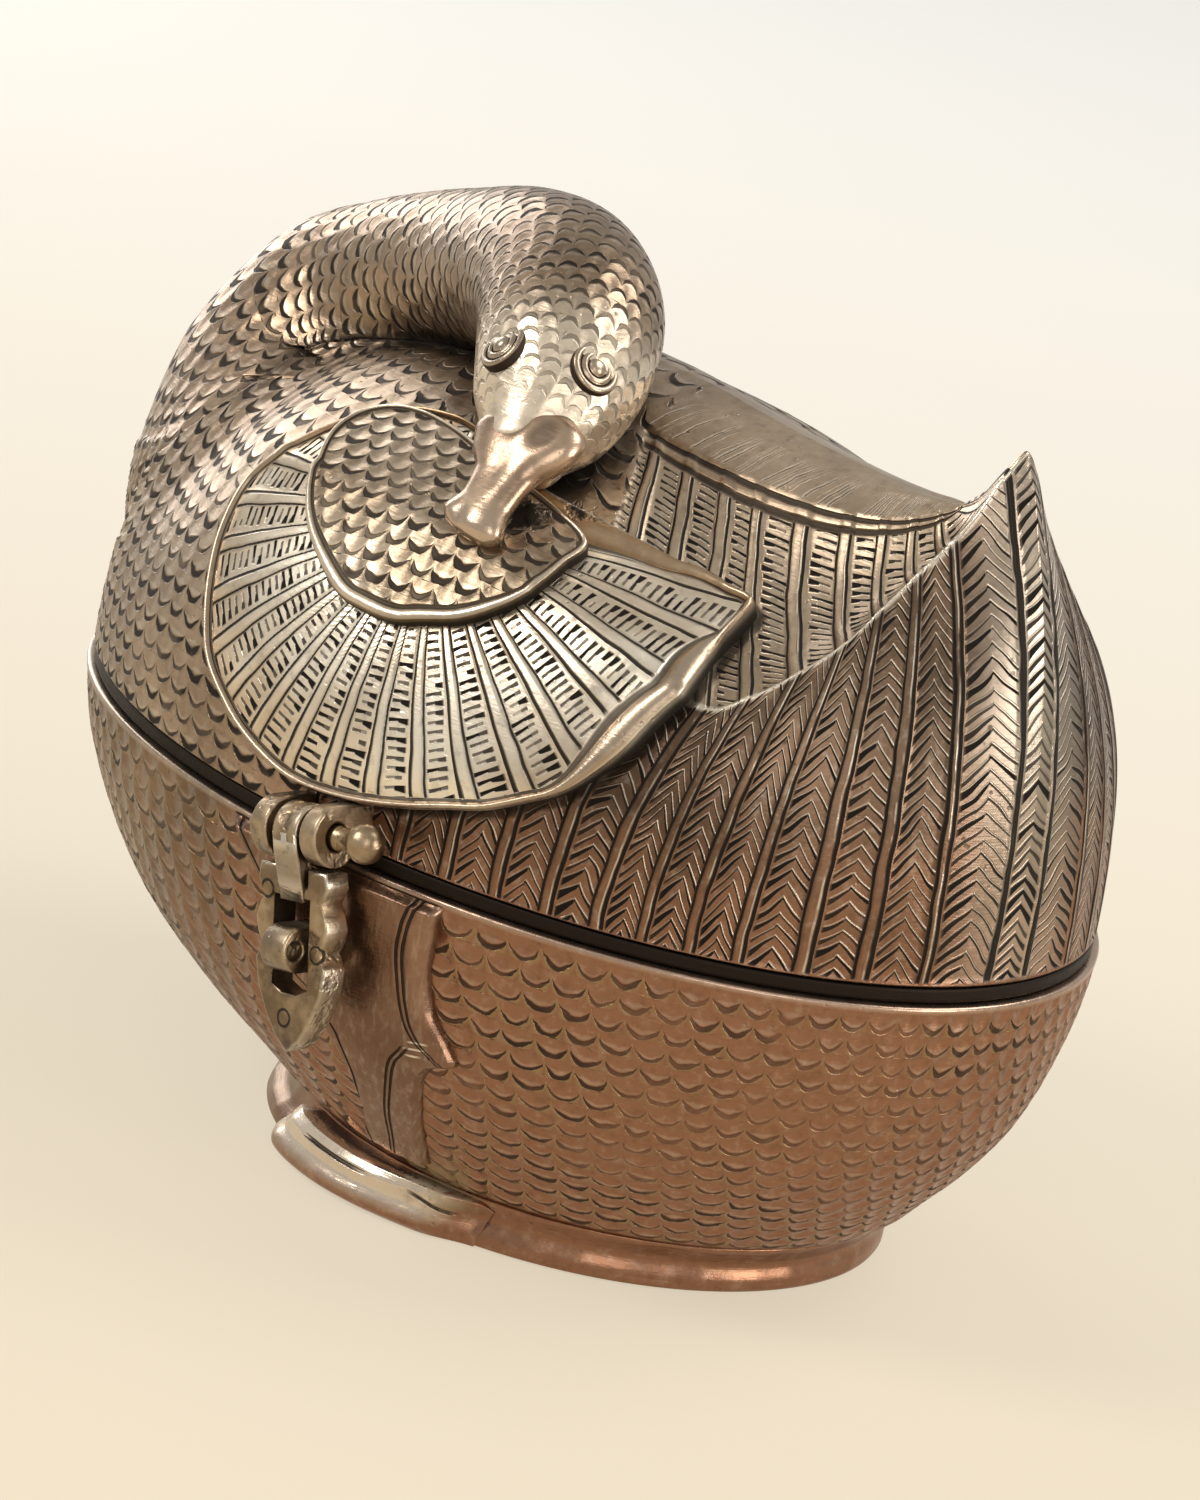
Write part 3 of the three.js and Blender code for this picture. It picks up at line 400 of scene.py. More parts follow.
def scalePattern(paint, own, lower, down, line):
    # painted shade in dark crescents under each scale and their soft halo, painted highlights on bright rims, height,
    # and the scale's own number
    flat = scaleShape["flat"]
    wobble = (paint.noise(230.0, 3.0) - 0.5) * 0.55
    part = (down + (paint.noise(200.0, 2.0) - 0.5) * 0.3).part()
    row = down.floor()
    shifted = own + wobble
    side = shifted.part() - 0.5
    drop = (1 - part) * flat
    upper = (side * side + drop * drop).root()
    outside = 1 - upper.under(0.5)
    below = (lower + wobble).part() - 0.5
    rise = part * flat
    under = (below * below + rise * rise).root().least(0.5)
    reach = upper + outside * (under - upper)
    height = (reach * 2).ease(0.0, 1.05)
    number = paint.odd(shifted.floor() * 7.13 + row * 31.7)
    leaning = (drop / upper.most(0.05)).ease(0.25, 0.95)
    clear = 0.7 + 0.3 * (paint.noise(150.0, 2.0) + number * 0.2).ease(0.45, 0.66)
    width = line * (0.45 + 0.8 * number) * leaning + 0.012
    inner = 0.5 - upper
    crescent = inner.line(width * 0.55, width, 0.45) * clear * leaning.ease(0.0, 0.35)
    halo = outside * (1 - ((upper - 0.5) / (0.06 + 0.16 * leaning)).ease(0.1, 1.0))
    lit = inner / width
    rim = lit.between(1.4, 2.0, 2.2, 3.2) * leaning * (clear - 0.5)
    return crescent, rim, halo, height, number


def barbPattern(paint, band, along, slope, pitch, stripe, bold):
    # feather bands: a plain rib with a painted shadow along one side and a painted glint, then a column of chiselled
    # strokes with painted highlights on their lips and painted shade round them
    band = band + (paint.noise(110.0, 2.0) - 0.5) * 0.16
    number = band.floor()
    part = band - number
    kind = paint.odd(number + 0.5)
    sway = paint.noise(160.0, 2.0)
    # dark lines along the rib's two edges, the thicker one a painted shadow
    lines = part.line(0.03, 0.035 + 0.06 * sway, 0.4).most(part.line(stripe, 0.015 + 0.04 * sway))
    aside = (part - (stripe + 0.99) * 0.5) / ((0.99 - stripe) * 0.5)
    edge = abs(aside)
    far = aside.ease(-0.05, 0.05)
    jitter = (paint.noise(130.0, 1.0) - 0.5) * (3.0 if slope else 0.7)
    leaned = slope * (0.75 + 0.5 * kind)
    cells = (along + kind * 5.0 + far * (0.3 if slope else 0.0) + jitter + edge * leaned) / pitch
    stroke = cells.part()
    strong = paint.odd(cells.floor() + number * 17.3 + far.floor() * 5.1)
    wide = (0.12 + 0.30 * strong) * (0.30 + 0.70 * edge) * (0.65 + 0.9 * far) + bold
    past = (stroke - wide) / 0.13
    cut = stroke.ease(0.0, 0.06) * (1 - past.ease(0.0, 0.8))
    ends = 1 - edge.ease(0.84, 0.97)
    if not slope:
        ends = aside.line(kind * -0.12, 0.55 + 0.40 * strong, 0.8) * strong.ease(0.0, 0.1)
    inside = ends * part.ease(stripe, stripe + 0.04)
    strokes = cut * inside * (0.6 + 0.6 * strong)
    # painted highlights on the strokes' lips, and a painted glint along the rib
    lip = past.between(0.3, 0.9, 1.2, 2.0) * inside * (1.0 - 0.6 * far) * (0.4 + 0.8 * sway)
    glint = part.line(0.10, 0.03) * paint.noise(170.0).ease(0.42, 0.6)
    # painted shade round the rib and under the strokes
    halo = part.line(stripe, 0.10, 0.2).most(part.line(-0.02, 0.16, 0.2)) * 0.6
    halo = halo.most((1 - past.ease(0.0, 1.8)) * inside * (0.3 + 0.5 * far))
    return strokes.most(lines), lip.most(glint * 0.8), halo


# sootAndShade is the dark tone for dirty flecks and for painted shade
tones = {"umber": rgb(0.165, 0.108, 0.068), "bronze": rgb(0.275, 0.185, 0.115), "copper": rgb(0.285, 0.142, 0.082),
         "cream": rgb(0.840, 0.745, 0.610), "black": rgb(0.010, 0.007, 0.005), "sootAndShade": rgb(0.050, 0.034, 0.022),
         "khaki": rgb(0.300, 0.235, 0.120), "gold": rgb(0.330, 0.235, 0.115)}
# dried dirt where the foot meets the leg, a worn place on the head lightened with a painted highlight, and painted
# shade in the corners round the bill:
# place in mm, and a radius in mm
dirtAndShading = {"khaki": (30.0, -39.5, 7.5), "khakiFade": (0.002, 0.011), "khakiEnd": (0.006, 0.014),
        "wornAndLit": (18.5, -20.5, 110.0, 8.0),
        "sootAndShade": [(22.5, -31.5, 99.5, 4.2), (21.0, -40.0, 95.5, 3.6), (26.0, -30.5, 98.5, 3.0)]}
# noises: scale, detail and roughness
metal = {"cloud": (24.0, 4.0, 0.6), "patch": (95.0, 3.0, 0.6), "fleck": (640.0, 3.0, 0.6), "grain": (1500.0, 3.0, 0.6),
         "scratch": (60.0, 2.0, 0.5), "scratchRun": (6.0, 6.0, 60.0), "crust": (520.0, 5.0, 0.75), "pits": 620.0,
         "bump": 0.0004}


def castMetal(paint, recess=None, bright=None, relief=None, copper=0.5, crust=False, rough=0.36, base=None,
              halo=None, haloTone="sootAndShade", cloudy=1.0, headShading=False):
    # aged cast brass: cloudy tone, recesses darkened with painted shade as well as dirt, edges and rims lightened with
    # painted highlights as well as wear, pits and fine scratches
    x, y, z = paint.split(paint.where())
    cloud, patch, fleck, grain = (paint.noise(*metal[kind]) for kind in ("cloud", "patch", "fleck", "grain"))
    scratch = paint.noise(*metal["scratch"], paint.stretched(*metal["scratchRun"]))
    none = patch * 0.0
    tone = base or paint.mix(cloud.ease(0.36, 0.64), tones["umber"], tones["bronze"])
    low = (1 - z.ease(0.03, 0.10)) * x.ease(-0.05, 0.04) * (0.5 + cloud)
    tone = paint.mix((low + (patch - 0.5) * 0.6).ease(0.15, 0.8) * copper, tone, tones["copper"])
    tone = paint.mix(fleck.ease(0.52, 0.72) * 0.22 * cloudy, tone, tones["cream"])
    tone = paint.mix((1 - fleck.ease(0.30, 0.48)) * 0.45 * cloudy, tone, tones["sootAndShade"])
    pits = paint.node("ShaderNodeTexVoronoi", None, {"Vector": paint.where(), "Scale": metal["pits"]})
    pitted = (1 - pits.ease(0.06, 0.22)) * patch.ease(0.52, 0.64) * cloudy
    # a soft halo of painted shade round recesses and joins, in the given tone
    if halo is not None:
        tone = paint.mix(halo * 0.85, tone, tones[haloTone])
    shine = none if bright is None else bright
    dark = none if recess is None else recess
    # painted highlight on the head's worn place, and painted shade in the corners round the bill
    if headShading:
        shine = shine.most(paint.blot(dirtAndShading["wornAndLit"], 0.3, 1.0) * 0.7)
        for spot in dirtAndShading["sootAndShade"]:
            dark = dark.most(paint.blot(spot, 0.55, 0.95))
    # painted highlights mixed towards cream
    tone = paint.mix(shine * (0.45 + 0.6 * cloud), tone, tones["cream"])
    # painted shade and dirt in the recesses, and the pits, mixed towards black
    covered = dark.most(pitted * 0.7)
    tone = paint.mix(covered * 0.96, tone, tones["black"])
    roughness = rough + (patch - 0.5) * 0.20 + (fleck - 0.5) * 0.16 + covered * 0.3 - shine * 0.08
    metallic = 0.95 - covered * 0.15
    if crust:
        spot = place(dirtAndShading["khaki"])
        across, aside, above = x - float(spot[0]), abs(y) + float(spot[1]), z - float(spot[2])
        far = (across * across + aside * aside + above * above).root()
        film = (1 - far.ease(*dirtAndShading["khakiFade"])) * 0.75 + (paint.noise(*metal["crust"]) - 0.5) * 2.4
        film = film.ease(0.35, 0.95) * (1 - far.ease(*dirtAndShading["khakiEnd"]))
        tone = paint.mix(film * 0.6, tone, tones["khaki"])
        roughness = roughness + film * 0.3
        metallic = metallic - film * 0.6
    height = (grain - 0.5) * 0.05 + (scratch - 0.5) * 0.08 + (patch - 0.5) * 0.25 + (fleck - 0.5) * 0.10
    height = height - pitted * 0.4 - dark * 0.8
    if relief is not None:
        height = height + relief
    bump = paint.node("ShaderNodeBump", None, {"Strength": 1.0, "Distance": metal["bump"], "Height": height})
    shader = paint.node("ShaderNodeBsdfPrincipled", None, {"Base Color": tone, "Roughness": roughness,
                                                           "Metallic": metallic, "Normal": bump})
    paint.node("ShaderNodeOutputMaterial", None, {"Surface": shader})
    return paint.material


# bowl
bowl = {"rim": 49.5, "base": 7.3, "wall": 2.8, "floor": 3.0, "centre": 2.5, "halfLength": 80.5, "halfWidth": 58.0,
        "baseCentre": 18.5, "baseHalfLength": 44.0, "baseHalfWidth": 40.3, "columns": 840,
        "scaleRows": 16, "scaleWide": 4.4, "relief": 0.30, "plainRim": 1.0, "fillet": 2.0, "line": 0.07,
        # over the rim: height above it, and inset
        "edge": [(-1.0, 0.0), (-0.45, 0.0), (-0.16, 0.12), (-0.03, 0.38), (0, 0.75), (0, 1.4), (0, 2.1),
                 (-0.03, 2.45), (-0.16, 2.68), (-0.45, 2.8)],
        # share of the height, and share of the growth from base to rim
        "growth": [(0, 0), (0.05, 0.11), (0.107, 0.21), (0.25, 0.465), (0.44, 0.715), (0.679, 0.89),
                   (0.845, 0.965), (1, 1)]}
bowlGrowth = tableCurve(bowl["growth"])


def bowlSection(z):
    grown = bowlGrowth((np.asarray(z, float) - bowl["base"]) / (bowl["rim"] - bowl["base"]))[..., 0]
    return (mixed(bowl["baseCentre"], bowl["centre"], grown), mixed(bowl["baseHalfLength"], bowl["halfLength"], grown),
            mixed(bowl["baseHalfWidth"], bowl["halfWidth"], grown))


def bowlRing(angles, z, inset=0.0, share=1.0):
    centre, long, wide = bowlSection(z)
    return stacked(centre + (long - inset) * share * np.cos(angles), (wide - inset) * share * np.sin(angles), z)


def makeBowl():
    columns, strips, base, top, inset = bowl["columns"], scaleShape["strips"], bowl["base"], bowl["rim"], bowl["wall"]
    angles = circle(columns)
    heights = np.linspace(base + 0.5, top - bowl["plainRim"], 400)
    _, long, wide = bowlSection(heights)
    lengths = np.r_[0, np.cumsum(np.hypot(np.diff(heights), np.diff((long + wide) / 2)))]
    rows = bowl["scaleRows"] * strips
    z = np.interp(np.linspace(0, lengths[-1], rows + 1), lengths, heights)
    perimeter = 2 * np.pi * np.hypot(*[np.interp(z, heights, side) for side in (long, wide)]) / math.sqrt(2)
    marks = scaleMarks(columns, np.round(perimeter[:-1:strips] / bowl["scaleWide"]), 1)
    wall = bowlRing(angles[None], z[:, None])
    depth = (1 - scaleHeight(marks)) * bowl["relief"]
    depth[:2] *= 0.3
    wall = wall - gridNormals(wall) * depth[..., None]
    quilt = Patchwork("scales", "zone")
    # outside wall, then up over the rim and down inside to the floor
    quilt.add(wall, wrap=True, sheet=(0, 0.36, 1, 0.64), scales=marks, zone=np.ones((rows + 1, columns + 1, 3)))
    floorTop, soft = base + bowl["floor"], bowl["fillet"]
    profile = [(top + h, d) for h, d in bowl["edge"]]
    profile += [(h, inset) for h in np.linspace(top - 1.2, floorTop + soft, 26)]
    profile += [(floorTop + soft - soft * math.sin(t), inset + soft - soft * math.cos(t))
                for t in np.linspace(0.2, 1.45, 6)]
    loops = [bowlRing(angles, h, d) for h, d in profile]
    loops += [bowlRing(angles, floorTop, inset + soft, share) for share in (1, 0.9, 0.75, 0.55, 0.35, 0.15, 0.002)]
    quilt.add(np.stack(loops), wrap=True, sheet=(0, 0.16, 1, 0.19))
    under = [bowlRing(angles, base, share=share) for share in (0.002, 0.2, 0.45, 0.7, 0.88)]
    under += [bowlRing(angles, base, 0.5), bowlRing(angles, base + 0.15, 0.15), wall[0]]
    quilt.add(np.stack(under), wrap=True, sheet=(0, 0.0, 1, 0.15))
    paint = Paint("castCopperBrass")
    zone = paint.carried("zone")[0]
    crescent, edge, halo, height, number = scalePattern(paint, *paint.carried("scales"), bowl["line"])
    rimShine = paint.split(paint.where())[2].ease(0.0484, 0.0493) * 0.35
    soft = paint.noise(38.0, 2.0).ease(0.36, 0.62)
    # painted shade in the crescents and their soft halos, painted highlights on the scale rims and along the top of the
    # rim
    finish = castMetal(paint, recess=crescent * zone * (0.30 + 0.6 * soft), copper=1.0, crust=True, rough=0.33,
                       bright=(edge * zone * 0.35).most(rimShine), haloTone="gold", cloudy=0.45,
                       relief=(height * 0.6 + number * 0.15) * zone, halo=halo * zone * (0.25 + 0.5 * soft))
    finished(quilt.mesh("bowl_cast"), "bowl_cast", "bowl", ["bowl_shell"], finish)


# foot ring
footRing = {"height": 7.0, "halfLength": 45.0, "halfWidth": 40.6, "centre": 14.5,
            # height as a share, then shares of half length, half width and centre
            "profile": [(0, 1, 1, 1), (0.214, 0.996, 0.995, 1.02), (0.571, 0.962, 0.966, 1.1), (1, 0.969, 0.98, 1.24)]}
ringProfile = tableCurve(footRing["profile"])


def ringPoint(angles, z, out=0.0):
    row = ringProfile(np.clip(np.asarray(z, float) / footRing["height"], 0, 1))
    return stacked(row[..., 2] * footRing["centre"] + (row[..., 0] * footRing["halfLength"] + out) * np.cos(angles),
                   (row[..., 1] * footRing["halfWidth"] + out) * np.sin(angles), z)


def makeFootRing():
    angles = circle(420)
    uneven = 0.12 * np.sin(angles * 5 + 1) + 0.10 * np.sin(angles * 13) + 0.06 * np.sin(angles * 29 + 2)
    profile = [(0.0, -1.5), (0.0, -0.6), (0.12, -0.2), (0.5, -0.02)] + [(h, -0.02) for h in np.linspace(0.9, 6.2, 16)]
    profile += [(6.6, -0.15), (6.88, -0.45), (7.0, -0.9), (7.0, -2.5), (7.0, -3.6), (6.7, -4.0)]
    profile += [(h, -4.0) for h in np.linspace(6.2, 0.7, 8)] + [(0.2, -3.85), (0.0, -3.5), (0.0, -2.5), (0.0, -1.5)]
    loops = [ringPoint(angles, h, out - abs(uneven) * (0.8 < h < 6.6 and out > -1)) for h, out in profile]
    quilt = Patchwork()
    quilt.add(np.stack(loops), wrap=True)
    finish = castMetal(Paint("castFootBrass"), copper=0.95, crust=True, rough=0.32, cloudy=0.4)
    finished(quilt.mesh("foot_ring_cast"), "foot_ring_cast", "bowl", ["foot_ring"], finish)


# legs and feet
leg = {"rise": 1.8, "root": 1.5, "bottom": 0.20, "top": 0.985, "radius": 60, "second": 0.75, "cutDepth": 0.14,
       "cutWide": 0.17, "tones": (rgb(0.160, 0.092, 0.058), rgb(0.290, 0.180, 0.118)),
       # height as a share of the rim's, and turns of the edge towards the chest and of the one towards the tail
       "rows": [(0.20, 0.491, 0.420), (0.26, 0.472, 0.412), (0.34, 0.455, 0.401), (0.43, 0.451, 0.391),
                (0.49, 0.453, 0.385), (0.53, 0.459, 0.376), (0.565, 0.468, 0.359), (0.62, 0.476, 0.364),
                (0.70, 0.481, 0.374), (0.80, 0.486, 0.376), (0.90, 0.502, 0.374), (0.985, 0.520, 0.373)],
       # engraved lines: height, turns of the upper one, the lower one, and the one towards the chest
       "lines": [(0.18, 0.330, 0.456, 0.480), (0.25, 0.335, 0.441, 0.471), (0.35, 0.340, 0.423, 0.450),
                 (0.44, 0.345, 0.410, 0.443), (0.52, 0.352, 0.400, 0.444), (0.56, 0.368, 0.392, 0.449),
                 (0.60, 0.381, 0.386, 0.452), (0.65, 0.387, 0.383, 0.470), (0.74, 0.390, 0.380, 0.474),
                 (0.82, 0.391, 0.375, 0.480), (0.91, 0.389, 0.370, 0.496), (1.0, 0.383, 0.365, 0.514)]}
foot = {"height": 6.6, "reach": 5.4, "from": 0.355, "to": 0.635, "root": -1.0,
        # places up the section and runs in turns: a long groove under the top edge, which is worn and carries a painted
        # highlight, and a slit rising to it
        "groove": 0.80, "grooveRun": (0.47, 0.50, 0.555, 0.575), "slit": 0.62, "slitRises": (0.385, 0.44),
        "slitRun": (0.380, 0.395, 0.425, 0.44),
        # turn and reach outwards, and the toes' section: out and up
        "rows": [(0.355, 0.15), (0.37, 0.45), (0.40, 0.62), (0.44, 0.78), (0.48, 0.95), (0.52, 1.00), (0.56, 0.95),
                 (0.60, 0.80), (0.635, 0.30)],
        "section": [(0.55, 0), (0.82, 0.12), (1, 0.45), (0.97, 0.75), (0.72, 1)]}


def bowlNormal(angles, z):
    turnStep, upStep = 0.004, 0.05
    along = bowlRing(angles + turnStep, z) - bowlRing(angles - turnStep, z)
    above = np.minimum(z + upStep, bowl["rim"])
    up = bowlRing(angles, above) - bowlRing(angles, above - 2 * upStep)
    return unit(np.cross(along, up))


def makeLeg(side, name, node):
    share = np.linspace(leg["bottom"], leg["top"], 190)
    z = share * bowl["rim"]
    chestSide, tailSide = tableCurve(leg["rows"])(share).T
    turn = mixed(chestSide[:, None], tailSide[:, None], np.linspace(0, 1, 121)[None])
    angles = side * np.pi * turn
    heights = np.broadcast_to(z[:, None], angles.shape)
    around = np.pi * leg["radius"]
    fromEdge = np.minimum(turn - tailSide[:, None], chestSide[:, None] - turn) * around
    upperLine, lowerLine, chestLine = ((turn - line[:, None]) * around for line in tableCurve(leg["lines"])(share).T)
    high = ease(share, 0.555, 0.575)[:, None]
    tailLine = mixed(lowerLine, upperLine, high)
    rise = -1.2 + 1.2 * ease(fromEdge, 0, 0.06) + leg["rise"] * (0.35 + 0.65 * ease(fromEdge, 0.0, 0.9))
    # the band dips a little between its two rounded borders
    rise += 0.16 * bell(tailLine + 1.3, 0.9) - 0.10 * ease(tailLine, 0.4, 2.0) * ease(-chestLine, 0.4, 2.0)
    rise *= 1 - 0.75 * ease(z, 47.6, 48.76)[:, None]
    for cut in (tailLine, tailLine - leg["second"], chestLine):
        rise -= leg["cutDepth"] * bell(cut, leg["cutWide"])
    top = bowlRing(angles, heights) + bowlNormal(angles, heights) * rise[..., None]
    top[..., 2] = heights
    back = bowlRing(angles, heights, leg["root"])
    quilt = Patchwork("band")
    flip = side > 0
    spread = stacked(upperLine, lowerLine, chestLine)
    quilt.add(top, flip=flip, sheet=(0, 0, 0.8, 1), band=spread)
    quilt.add(back, flip=not flip, sheet=(0.82, 0, 0.18, 0.9), band=spread + 30)
    for row in (0, -1):
        ends = np.stack([top[row], back[row]])
        quilt.add(ends, flip=flip == (row == -1), sheet=(0.82, 0.92 + 0.04 * (row == 0), 0.18, 0.03))
    paint = Paint("brushedLegBrass" + name[:1])
    upperWire, lowerWire, chestWire = paint.carried("band")
    z = paint.split(paint.where())[2]
    sway = (paint.noise(90.0) - 0.5) * 0.4
    upperHalf, lowerHalf = z.ease(0.0270, 0.0276), 1 - z.ease(0.0280, 0.0286)
    lines = (chestWire + sway).near(0.0, 0.06, 0.22)
    for wire, half in ((upperWire, upperHalf), (lowerWire, lowerHalf)):
        for shift in (0.0, leg["second"]):
            lines = lines.most((wire + sway).near(shift, 0.06, 0.22) * half)
    # three short bright strokes at the root of the spur, painted highlights
    claw = (z * 900.0 + lowerWire * 0.25).part().near(0.5, 0.08, 0.2) * z.between(0.0272, 0.0275, 0.0300, 0.0303)
    claw = claw * lowerWire.near(-0.8, 0.6, 1.6)
    rubbed = upperWire.near(-1.6, 0.6, 1.6) * upperHalf
    brushed = paint.noise(1100.0, 2.0, 0.6, paint.stretched(1.0, 1.0, 0.12))
    shade = paint.noise(45.0)
    base = paint.mix(shade.ease(0.35, 0.65), *leg["tones"])
    # painted highlights: lighter brushed streaks as a sheen, and the three strokes
    finish = castMetal(paint, recess=lines * 0.9, bright=(brushed.ease(0.48, 0.75) * shade * 0.35).most(claw * 0.9),
                       halo=(1 - rubbed) * 0.25, relief=brushed * 0.10, copper=0.35, rough=0.31, base=base, cloudy=0.3)
    finished(quilt.mesh(name), name, "bowl", [node], finish)


def makeFoot(side, name, node):
    turn = np.linspace(foot["from"], foot["to"], 160)
    reach = tableCurve(foot["rows"])(turn)[:, 0]
    across = np.linspace(0, 1, 44)
    section = curveThrough(np.linspace(0, 1, 5), foot["section"])(across)
    dips = 0.40 * bell(across - foot["groove"], 0.030) * between(turn, *foot["grooveRun"])[:, None]
    slit = across - mixed(foot["slit"], foot["groove"], ease(turn, *foot["slitRises"]))[:, None]
    dips = dips + 0.35 * bell(slit, 0.025) * between(turn, *foot["slitRun"])[:, None]
    out = (section[:, 0] * reach[:, None] * foot["reach"] - dips) * ease(turn, 0.352, 0.41)[:, None] + 0.05
    high = section[:, 1] * foot["height"] * (0.8 + 0.2 * ease(reach, 0.1, 0.8))[:, None]
    angles = side * np.pi * np.broadcast_to(turn[:, None], out.shape)
    outer = ringPoint(angles, np.minimum(high, footRing["height"])) * [1, 1, 0]
    outer += stacked(out * np.cos(angles), out * np.sin(angles), np.maximum(high, 0.0))
    root = ringPoint(angles[:, :1], 0.0, foot["root"])
    roof = ringPoint(angles[:, :1], high[:, -1:], foot["root"])
    whole = np.concatenate([root, outer, roof], 1)
    marks = stacked(np.r_[0, across, 1, 0][None], turn[:, None], 0.0)
    quilt = Patchwork("toes")
    quilt.add(whole, wrap=True, flip=side > 0, sheet=(0, 0, 1, 0.9), toes=marks)
    for row, spot in ((0, 0.91), (-1, 0.96)):
        middle = np.broadcast_to(whole[row].mean(0), whole[row].shape)
        quilt.add(np.stack([whole[row], mixed(whole[row], middle, 0.98)]), wrap=True,
                  flip=(side > 0) == (row == -1), sheet=(0, spot, 1, 0.04))
    paint = Paint("castToeBrass" + name[:1])
    up, turnWire, _ = paint.carried("toes")
    sway = (paint.noise(120.0) - 0.5) * 0.06
    groove = (up + sway).near(foot["groove"], 0.015, 0.045) * turnWire.between(*foot["grooveRun"])
    slant = up - turnWire.ease(*foot["slitRises"]) * (foot["groove"] - foot["slit"])
    split = (slant + sway).near(foot["slit"], 0.012, 0.04) * turnWire.between(*foot["slitRun"])
    # painted highlight, together with wear, along the top of the toes
    wornAndLit = up.ease(0.30, 0.60) * turnWire.ease(0.38, 0.42)
    finish = castMetal(paint, recess=groove.most(split) * 0.95, bright=wornAndLit * (0.6 + 0.7 * paint.noise(70.0)),
                       copper=0.9, crust=True, rough=0.32, cloudy=0.5)
    finished(quilt.mesh(name), name, "bowl", [node], finish)


makeBowl()
makeFootRing()
for sideName, side in (("left", -1), ("right", 1)):
    makeLeg(side, sideName + "_leg_band", sideName + "_leg")
    makeFoot(side, sideName + "_toes", sideName + "_foot")
print("bowl, foot ring, legs and feet made")


# lip under the lid, painted near black as the shaded gap between lid and bowl
lip = {"foot": 46.0, "footTo": 47.0, "tone": rgb(0.022, 0.016, 0.012),
       # round the band and down the tongue: inset and height
       "profile": [(1.25, 49.8), (1.05, 49.95), (1.0, 50.3), (1.08, 50.8), (1.0, 51.3), (1.05, 51.6), (1.3, 51.7),
                   (3.4, 51.7), (6.0, 51.7), (6.0, 46.3), (5.7, 46.0), (3.5, 46.0), (3.2, 46.3), (3.2, 49.5),
                   (3.2, 49.8), (2.0, 49.8), (1.25, 49.8)]}


def makeLip():
    loops = []
    for inset, z in lip["profile"]:
        loop = bowlRing(circle(480), lip["foot"] if z < lip["footTo"] else z, inset)
        loop[:, 2] = z
        loops.append(loop)
    quilt = Patchwork()
    quilt.add(np.stack(loops), wrap=True)
    # painted shade: near black, standing for the gap in shadow under the lid
    finish = castMetal(Paint("shadedGapBand"), copper=0.0, rough=0.55, base=lip["tone"], cloudy=0.0)
    finished(quilt.mesh("lid_band"), "lid_band", "lid", ["lid_lip"], finish)


makeLip()

